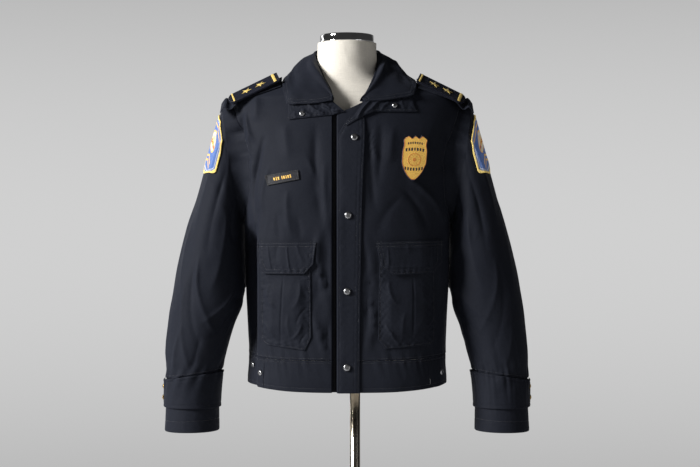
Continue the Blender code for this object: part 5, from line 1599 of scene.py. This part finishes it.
# Each station: a point on the roll, a point on the free edge, and how far round its foot is in degrees.
collarStations = {
    "right": (
        (0.0260, -0.0860, 1.4680, 0.0262, -0.1000, 1.4590, 8),
        (0.0335, -0.0750, 1.4870, 0.0620, -0.1050, 1.4550, 13),
        (0.0450, -0.0590, 1.5080, 0.0930, -0.0980, 1.4525, 20),
        (0.0545, -0.0380, 1.5300, 0.1165, -0.0910, 1.4525, 32),
        (0.0620, -0.0180, 1.5480, 0.1225, -0.0500, 1.4880, 50),
        (0.0665, 0.0040, 1.5620, 0.1235, -0.0050, 1.5130, 75),
        (0.0640, 0.0280, 1.5710, 0.1120, 0.0400, 1.5100, 100),
        (0.0540, 0.0480, 1.5750, 0.0880, 0.0720, 1.5080, 123),
        (0.0300, 0.0660, 1.5770, 0.0480, 0.0920, 1.5080, 150),
        (0.0000, 0.0720, 1.5775, 0.0000, 0.0980, 1.5080, 180),
    ),
    "left": (
        (0.0255, -0.0880, 1.4640, 0.0330, -0.1010, 1.4580, 8),
        (0.0390, -0.0730, 1.4790, 0.0700, -0.1030, 1.4610, 13),
        (0.0490, -0.0570, 1.4960, 0.1040, -0.0940, 1.4660, 20),
        (0.0560, -0.0360, 1.5200, 0.1300, -0.0820, 1.4710, 32),
        (0.0615, -0.0160, 1.5440, 0.1345, -0.0450, 1.4900, 50),
        (0.0670, 0.0060, 1.5620, 0.1320, -0.0050, 1.5080, 75),
        (0.0640, 0.0280, 1.5710, 0.1160, 0.0400, 1.5080, 100),
        (0.0540, 0.0480, 1.5750, 0.0900, 0.0720, 1.5080, 123),
        (0.0300, 0.0660, 1.5770, 0.0480, 0.0920, 1.5080, 150),
        (0.0000, 0.0720, 1.5775, 0.0000, 0.0980, 1.5080, 180),
    ),
}


def necklineHeight(theta, side):
    if theta > math.pi / 2:
        s = (math.pi - theta) / (math.pi / 2)
        return mix(body["neckBack"], body["neckSide"], s * s)
    edge = body["edgeRight"] if side < 0 else body["zipEdge"]
    start = side * float(thetaAt(edge, body["neckFront"]))
    s = max(theta - start, 0.0) / (math.pi / 2 - start)
    return mix(body["neckFront"], body["neckSide"], 1 - (1 - s) ** body["necklineBend"])


def clearOf(curves, points, clearance):
    # Moves points out until they are this far from a surface.
    for _ in range(4):
        normal = ringNormal(curves, points)
        here, there = ringLevel(curves, points), ringLevel(curves, points + normal * 0.0005)
        distance = (here - 1) * 0.0005 / (there - here)
        points = points + normal * np.maximum(clearance - distance, 0)[..., None]
    return points


def collarProfile(row, side):
    # From the free edge up over the roll and down to the seam, as ten guide points.
    rollX, rollY, rollZ, edgeX, edgeY, edgeZ, foot = row
    roll, edge = np.array([rollX, rollY, rollZ]), np.array([edgeX, edgeY, edgeZ])
    out = unit(np.array([rollX, rollY, 0.0]))
    down = np.array([0, 0, -collar["roll"]])
    fallTop, standTop = roll + out * collar["roll"] + down, roll - out * collar["roll"] + down
    theta = math.radians(foot)
    base = ring(bodyCurves, theta, necklineHeight(theta, side) - collar["footDepth"])
    base = base - ringNormal(bodyCurves, base) * (cloth["wall"] + collar["wall"] + collar["footSeat"])
    lean = unit(out * 0.8 + np.array([0, 0, 0.6]))
    length = float(np.linalg.norm(edge - fallTop))
    s = shares(6)[:, None]
    fall = mix(edge, fallTop, s) + lean * collar["bulge"] * 6.75 * s * s * (1 - s) * min(length / 0.06, 1.0)
    clearance = mix(collar["clearFront"], collar["clearBack"], smooth((fall[:, 2] - 1.470) / 0.02))
    fall = clearOf(bodyCurves, fall, clearance)
    stand = np.stack([roll, standTop, mix(standTop, base, 0.5), base])
    stand = clearOf(formCurves, stand, collar["clearForm"])
    return np.concatenate([fall, stand]) * np.array([side, 1, 1])


def splineThrough(guides, parts, axis):
    # A Catmull-Rom curve along one axis of a block of guide points.
    guides = np.moveaxis(guides, axis, 0)
    padded = np.concatenate([[2 * guides[0] - guides[1]], guides, [2 * guides[-1] - guides[-2]]])
    at = shares(parts, 0, len(guides) - 1)
    i = np.minimum(at.astype(int), len(guides) - 2)
    t = (at - i).reshape((-1,) + (1,) * (guides.ndim - 1))
    a, b, c, d = padded[i], padded[i + 1], padded[i + 2], padded[i + 3]
    square, cube = 2 * a - 5 * b + 4 * c - d, 3 * b - a - 3 * c + d
    curve = 0.5 * (2 * b + (c - a) * t + square * t ** 2 + cube * t ** 3)
    return np.moveaxis(curve, 0, axis)


collarCreases = (
    (-230, 20, -150, 36, 6, 6, 1.6, 0.7),
    (-190, 10, -200, 50, 3, 8, 1.4, 0.5),
    (-120, 46, -60, 40, 4, 8, -1.2, 0.5),
    (130, 52, 215, 22, -6, 6.5, 2.2, 0.7),
    (190, 40, 225, 12, 3, 5.5, -1.4, 0.7),
    (80, 50, 150, 46, 3, 8, 1.2, 0.5),
    (-30, 46, 40, 50, 4, 9, 1.2, 0.4),
)


def makeCollar():
    right = [collarProfile(row, -1) for row in collarStations["right"]]
    left = [collarProfile(row, 1) for row in collarStations["left"]]
    around = np.array(right + left[-2::-1])
    # The leaf's corner is crisp at the free edge only.
    at = shares(250, 0, len(around) - 1)
    i = np.minimum(at.astype(int), len(around) - 2)
    straight = mix(around[i], around[i + 1], (at - i)[:, None, None])
    near = smooth(1 - np.minimum(np.abs(at - 3), np.abs(at - len(around) + 4)))[:, None, None]
    crisp = np.array([1.0, 0.55, 0.2, 0, 0, 0, 0, 0, 0, 0])[None, :, None]
    guides = splineThrough(mix(splineThrough(around, 250, 0), straight, near * crisp), 74, 1)
    # Rows run from the free edge to the foot, columns from the right front round the back.
    points = np.moveaxis(guides, 1, 0)
    normals = -gridNormals(points)
    uv = arcUv(points)
    # Each point's distance from the free edge and from the two ends.
    u = uv[..., 0] + 0 * uv[..., 1]
    v = uv[..., 1]
    ends = np.minimum(u - u[:, :1], u[:, -1:] - u)
    away = np.minimum(v, ends)
    fall = smooth((0.62 - shares(points.shape[0])[:, None]) / 0.08)
    height = creaseHeight(collarCreases, u, v) * fall * smooth(away / 0.008)
    height = height + (stitchGroove(away - 0.0045) + stitchGroove(away - 0.0105, 0.0012, 0.0003)) * fall
    height = height + edgePucker(u, v, away, 111) * fall * 0.8
    height = height + 0.7 * crumple(u, v, 113) * smooth(away / 0.02)
    points = points + normals * (height * (1 - smooth((v - 0.09) / 0.02)))[..., None]
    piece = clothPiece("collarCloth", "collar", points, collar["wall"], roll=0.0016, flip=True)
    # Two stitch lines inside the free edge and the two ends.
    for inset in (0.0045, 0.0105):
        count = points.shape[1]
        line, ups = [], []
        for i in range(count):
            if ends[2, i] < inset:
                continue
            k = int(np.argmin(np.abs(v[:, i] - inset)))
            line.append(points[k, i])
            ups.append(normals[k, i])
        stitchLines.setdefault("collar", []).append((np.array(line) - np.array(ups) * 0.0001, np.array(ups)))
        for first in (True, False):
            line, ups = [], []
            for k in range(points.shape[0]):
                if v[k].mean() < inset or fall[k, 0] < 0.3:
                    continue
                i = int(np.argmin(np.abs((u[k] - u[k, 0] if first else u[k, -1] - u[k]) - inset)))
                line.append(points[k, i])
                ups.append(normals[k, i])
            stitchLines["collar"].append((np.array(line) - np.array(ups) * 0.0001, np.array(ups)))


# Shoulder straps, boards, bars and stars

across = np.array([0, -math.cos(shoulder["lean"]), -math.sin(shoulder["lean"])])
shoulderTrim = (
    ("right", -1, 0.1290, 0.1345, 0.1430, 0.0030, 0.2230, 0.0017, 0.1700, 0.1970),
    ("left", 1, 0.1385, 0.1400, 0.1450, 0.0017, 0.2220, 0.0030, 0.1710, 0.1970),
)


def strapHeight(x):
    v = shares(9, -shoulder["halfWidth"], shoulder["halfWidth"])
    under = topHeight(np.full(9, x), shoulder["middleY"] + v * across[1])
    return float(np.max(under - v * across[2])) + shoulder["clearance"]


def slab(outline, low, high, bevel):
    # A flat outline given thickness, with its upper edge rounded off in three steps.
    outline = np.array(outline, float)
    count = len(outline)
    before, after = np.roll(outline, 1, axis=0), np.roll(outline, -1, axis=0)
    a, b = unit(outline - before), unit(after - outline)
    inward = unit(np.stack([-(a + b)[:, 1], (a + b)[:, 0]], axis=1))
    layers = [(0.0, low), (0.0, high - bevel)]
    for t in (0.5, 1.0, math.pi / 2):
        layers.append((bevel * (1 - math.cos(t)), high - bevel + bevel * math.sin(t)))
    vertices = []
    for inset, h in layers:
        flat = outline + inward * inset
        vertices += [(p[0], p[1], h) for p in flat]
    faces = gridFaces(len(layers), count, True).tolist()
    faces.append(tuple(range(count))[::-1])
    faces.append(tuple((len(layers) - 1) * count + i for i in range(count)))
    return vertices, faces


def plainMesh(name, vertices, faces, matrix, smoothShade=False):
    mesh = bpy.data.meshes.new(name)
    mesh.from_pydata([tuple(v) for v in vertices], [], faces)
    layer = mesh.uv_layers.new(name="cloth")
    for loop in mesh.loops:
        co = mesh.vertices[loop.vertex_index].co
        layer.data[loop.index].uv = (co.x, co.y)
    mesh.transform(matrix)
    if smoothShade:
        mesh.shade_smooth()
    mesh.update()
    return mesh


def starSolid(radius, thickness):
    # A five-point star whose faces fall away from a raised middle.
    vertices, faces = [], []
    for i in range(10):
        r = radius if i % 2 == 0 else radius * 0.38
        turn = math.pi / 2 + i * math.pi / 5
        vertices.append((r * math.cos(turn), r * math.sin(turn), 0.35 * thickness))
    vertices += [(x, y, 0.0) for x, y, _ in vertices[:10]]
    vertices += [(0, 0, thickness * 1.5), (0, 0, 0.0)]
    for i in range(10):
        j = (i + 1) % 10
        faces += [(i, j, 20), (i + 10, j + 10, j, i), (j + 10, i + 10, 21)]
    return vertices, faces


def makeStrap(word, side, line):
    v = edgedShares(2 * shoulder["halfWidth"], 0.0015, cloth["edgeRoll"]) * 2 - 1
    v = v[:, None] * shoulder["halfWidth"]
    points = np.stack([side * line[:, 0], np.full(len(line), shoulder["middleY"]), line[:, 1]], axis=1)
    rows = points[None, :, :] + across[None, None, :] * v[..., None]
    rows = splineThrough(rows, 90, 1)
    piece = clothPiece("epaulet" + word.title(), "epaulet_" + word, rows, cloth["trimWall"], flip=side > 0)


def makeBoard(word, half, seat, normal):
    # A stiff board, round at its outer end, with a line of stitches just inside its edge.
    thick, wide = shoulder["boardThickness"], shoulder["boardHalf"]
    rounding = shoulder["rounding"]
    outline = [(-half + 0.001, -wide)]
    for a in shares(25, -math.pi / 2, math.pi / 2):
        outline.append((half - rounding * (1 - math.cos(a)), wide * math.sin(a)))
    outline += [(-half + 0.001, wide), (-half, wide - 0.001), (-half, 0.0), (-half, -wide + 0.001)]
    mesh = plainMesh("board" + word.title(), *slab(outline, 0.0, thick, 0.0011), seat)
    place("board" + word.title(), mesh, finishes["board"], "shell_nylon", "board_" + word)
    rim = [(x * (1 - 0.0022 / half), y * (1 - 0.0022 / wide)) for x, y in outline]
    flat = np.array([[*(seat @ Vector((x, y, thick)))] for x, y in rim + rim[:1]]) - bodyShift
    ups = np.tile(np.array(normal), (len(flat), 1))
    stitchLines.setdefault("boards", []).append((flat, ups))


def makeShoulder(trim):
    word, side, strapStart, boardStart, innerBar, innerHalf, outerBar, outerHalf, *stars = trim
    wall = cloth["trimWall"]
    xs = shares(8, strapStart, shoulder["straightEnd"])
    line = np.array([(x, strapHeight(x) + wall) for x in xs] + list(shoulder["bend"]))
    start, end = line[1], (shoulder["straightEnd"], strapHeight(shoulder["straightEnd"]) + wall)
    slope = (end[1] - start[1]) / (end[0] - start[0])
    raiseBy = max(z - (start[1] + slope * (x - start[0])) for x, z in line[:-2])
    makeStrap(word, side, line)

    along = Vector((side, 0, slope)).normalized()
    normal = (along.cross(Vector(across)) * -side).normalized()
    turn = Matrix((along, normal.cross(along), normal)).transposed().to_4x4()

    def onBoard(x, lift):
        height = start[1] + slope * (x - start[0]) + raiseBy + cloth["layGap"]
        point = Vector((side * x + body["offsetX"], shoulder["middleY"], height)) + normal * lift
        return Matrix.Translation(point) @ turn

    half = (shoulder["boardEnd"] - boardStart) / 2 * math.hypot(1, slope)
    makeBoard(word, half, onBoard((boardStart + shoulder["boardEnd"]) / 2, 0), normal)
    top = shoulder["boardThickness"] + cloth["seamGap"]
    for end, at, halfLength in (("inner", innerBar, innerHalf), ("outer", outerBar, outerHalf)):
        name = "bar%s%s" % (word.title(), end.title())
        vertices, faces = threadBar(halfLength, shoulder["boardHalf"] - 0.002)
        mesh = plainMesh(name, vertices, faces, onBoard(at, top), True)
        place(name, mesh, finishes["goldThread"], "gold_thread", "bar_%s_%s" % (word, end))
    for i, at in enumerate(stars, 1):
        name = "star%s%d" % (word.title(), i)
        mesh = plainMesh(name, *starSolid(shoulder["starRadius"], 0.0012), onBoard(at, top))
        place(name, mesh, finishes["goldThread"], "brass", "star_%s_%d" % (word, i))


def threadBar(halfLength, reach):
    # A bar of gold wire: turns of thread laid side by side over a core.
    pitch = 0.0007
    count = int(2 * reach / pitch)
    vertices, faces = [], []
    sides = 9
    columns = 4 * count + 1
    for i in range(columns):
        y = mix(-reach, reach, i / (columns - 1))
        wave = 0.00010 * math.cos(math.tau * i / 4)
        ends = min(1.0, math.sqrt(max(min(i, columns - 1 - i) / 6.0, 0.02)))
        for k in range(sides):
            a = math.pi * k / (sides - 1)
            x = (halfLength + wave) * math.cos(a)
            vertices.append((x, y, (0.0009 * math.sin(a) ** 0.7 + wave * math.sin(a)) * ends))
    for i in range(columns - 1):
        for k in range(sides - 1):
            a, b = i * sides + k, (i + 1) * sides + k
            faces.append((a, a + 1, b + 1, b))
        faces.append((i * sides + sides - 1, i * sides, (i + 1) * sides, (i + 1) * sides + sides - 1))
    faces.append(tuple(range(sides))[::-1])
    faces.append(tuple((columns - 1) * sides + k for k in range(sides)))
    return vertices, faces


# Dress form and stand

def makeTorso():
    close = [form["bottom"] + rise for rise in (0.0, 0.0008, 0.0025, 0.0050)]
    z = np.concatenate([close, shares(110, 0.934, 1.470), shares(60, 1.472, form["neckTop"])])
    turns = np.arange(128) / 128 * math.tau
    points = ring(formCurves, turns[None, :], z[:, None])
    normals = ringNormal(formCurves, points)
    # The form's seams: a ring where the neck is sewn on, dipping in front, and one down each quarter.
    ringLine = 1.4925 - 0.014 * np.cos(turns)[None, :] * (np.cos(turns)[None, :] > 0)
    dent = -0.0007 * np.exp(-((points[..., 2] - ringLine) / 0.0011) ** 2)
    for seam in (0, math.pi / 2, math.pi, 1.5 * math.pi):
        gap = np.abs(np.angle(np.exp(1j * (turns[None, :] - seam)))) * 0.06
        dent = dent - 0.0004 * np.exp(-(gap / 0.0014) ** 2) * (points[..., 2] < ringLine)
    soft = 0.0004 * ripple(turns[None, :] * 0.08, z[:, None], 131, 0.05)
    points = points + normals * (dent + soft)[..., None] + bodyShift
    rows, columns = points.shape[:2]
    faces = gridFaces(rows, columns, True).tolist()
    faces.append(tuple(range(columns))[::-1])
    faces.append(tuple((rows - 1) * columns + i for i in range(columns)))
    mesh = bpy.data.meshes.new("formTorso")
    mesh.from_pydata(points.reshape(-1, 3).tolist(), [], faces)
    mesh.shade_smooth()
    place("formTorso", mesh, finishes["linen"], "form_linen", "form_torso")


def makeCap():
    low = form["neckTop"] + cloth["seamGap"]
    r, h = form["capRadius"], form["top"] - low
    profile = (
        (0.0, 0.0), (r - 0.001, 0.0), (r, 0.0008), (r, 0.0030), (r - 0.0006, 0.0036),
        (r - 0.0006, h - 0.0040), (r - 0.0012, h - 0.0022), (r - 0.0030, h - 0.0010),
        (r - 0.0060, h - 0.0006), (0.010, h - 0.0006), (0.0090, h - 0.0005), (0.0085, h - 0.0001),
        (0.0070, h), (0.0, h),
    )
    cap = moved(latheMesh("neckCap", profile, 96), Matrix.Translation((body["offsetX"], 0, low)))
    place("neckCap", cap, finishes["chrome"], "chrome", "neck_cap")


def makeStand():
    r, h = form["baseRadius"], form["baseThickness"]
    profile = (
        (0.0, 0.0), (r - 0.003, 0.0), (r, 0.0020), (r, h - 0.0040), (r - 0.0010, h - 0.0016),
        (r - 0.0036, h - 0.0002), (r - 0.0060, h), (0.034, h), (0.0, h),
    )
    place("baseDisc", latheMesh("baseDisc", profile, 128), finishes["steel"], "base_steel", "base")
    low, high = h + cloth["seamGap"], form["bottom"] - cloth["seamGap"]
    r = form["pole"]
    profile = (
        (0.0, low), (r + 0.0120, low), (r + 0.0128, low + 0.0010), (r + 0.0120, low + 0.0050),
        (r + 0.0040, low + 0.0090), (r + 0.0012, low + 0.0140), (r, low + 0.0160), (r, high - 0.0010),
        (r - 0.0010, high), (0.0, high),
    )
    place("poleTube", latheMesh("poleTube", profile, 64), finishes["pole"], "nickel", "pole")


def makeStitches():
    for group, lines in stitchLines.items():
        name = "stitches" + group[0].upper() + group[1:]
        owner = {"pockets": "pocket_left", "placket": "placket", "collar": "collar", "lapels": "lapel_left",
                 "boards": "board_left", "cuffStraps": "cuff_strap_left", "sleeves": "sleeve_left",
                 "hemBands": "hem_band_left", "bodySeams": "back"}[group]
        place(name, stitchMesh(name, lines), finishes["thread"], "shell_nylon", owner)


# Floor, light and camera

def lamp(name, at, target, size, power):
    data = bpy.data.lights.new(name, "AREA")
    data.shape = "RECTANGLE"
    data.size, data.size_y = size
    data.energy = power
    thing = bpy.data.objects.new(name, data)
    bpy.context.scene.collection.objects.link(thing)
    thing.location = at
    thing.rotation_euler = (Vector(target) - Vector(at)).to_track_quat("-Z", "Y").to_euler()


def makeWorld():
    # Bright along the horizon behind the object, dimmer beside and above it like an unlit room.
    world = bpy.data.worlds.new("paleStudio")
    world.use_nodes = True
    bpy.context.scene.world = world
    tree = world.node_tree

    def maths(operation, source, value):
        step = tree.nodes.new("ShaderNodeMath")
        step.operation = operation
        tree.links.new(source, step.inputs[0])
        if isinstance(value, float):
            step.inputs[1].default_value = value
        else:
            tree.links.new(value, step.inputs[1])
        return step.outputs[0]

    spot = tree.nodes.new("ShaderNodeTexCoord")
    split = tree.nodes.new("ShaderNodeSeparateXYZ")
    tree.links.new(spot.outputs["Generated"], split.inputs[0])
    level = split.outputs["Z"]
    for operation, value in (("POWER", 2.0), ("MULTIPLY", -studio["fall"]), ("ADD", studio["horizon"]),
                             ("MAXIMUM", studio["ceiling"])):
        level = maths(operation, level, value)
    behind = tree.nodes.new("ShaderNodeMapRange")
    tree.links.new(split.outputs["Y"], behind.inputs["Value"])
    for key, value in (("From Min", 0.78), ("From Max", 0.94), ("To Min", studio["sides"]), ("To Max", 1.0)):
        behind.inputs[key].default_value = value
    sky = tree.nodes["Background"]
    tree.links.new(maths("MULTIPLY", level, behind.outputs[0]), sky.inputs["Color"])
    sky.inputs["Strength"].default_value = 1.0


def makeFloor():
    mesh = bpy.data.meshes.new("floor")
    turns = np.arange(96) / 96 * math.tau
    r = studio["floorRadius"]
    mesh.from_pydata([(r * math.cos(a), r * math.sin(a), -0.0005) for a in turns], [], [tuple(range(96))])
    ground = bpy.data.objects.new("floor", mesh)
    bpy.context.scene.collection.objects.link(ground)
    finish = Finish("paleFloor")
    cloud = finish.noise(finish.place(), 3.0, 4.0)
    shade = tuple(0.94 * c for c in studio["floor"])
    finish.set("Base Color", finish.blend(studio["floor"], shade, cloud))
    finish.set("Roughness", 0.75 + cloud * 0.1)
    mesh.materials.append(finish.material)


def makeCamera():
    data = bpy.data.cameras.new("camera")
    data.lens = studio["lens"]
    data.sensor_width = 36
    camera = bpy.data.objects.new("camera", data)
    bpy.context.scene.collection.objects.link(camera)
    camera.location = studio["eye"]
    camera.rotation_euler = (math.pi / 2, 0, 0)
    bpy.context.scene.camera = camera


def makeStudio():
    bpy.context.scene.view_settings.view_transform = "Standard"
    makeWorld()
    for name, values in lamps.items():
        lamp(name, **values)
    makeFloor()
    makeCamera()


makeStudio()
print("studio made")
makePanels()
makeHemBands()
sewPanels()
makeZip()
print("body panels made")
for side, word in ((-1, "right"), (1, "left")):
    makeSleeve(side, word)
    makeCuff(side, word)
    makeCuffStrap(side, word)
    makeShoulderPatch(side, word)
print("sleeves made")
makePlacket()
for word in ("right", "left"):
    makePocket(word)
    makeFlap(word)
    makeLapel(word)
makeNameTag()
makeBadge()
makeSnaps()
print("front trim made")
makeCollar()
for trim in shoulderTrim:
    makeShoulder(trim)
print("collar and shoulders made")
makeTorso()
makeCap()
makeStand()
makeStitches()
print("form and stitches made")
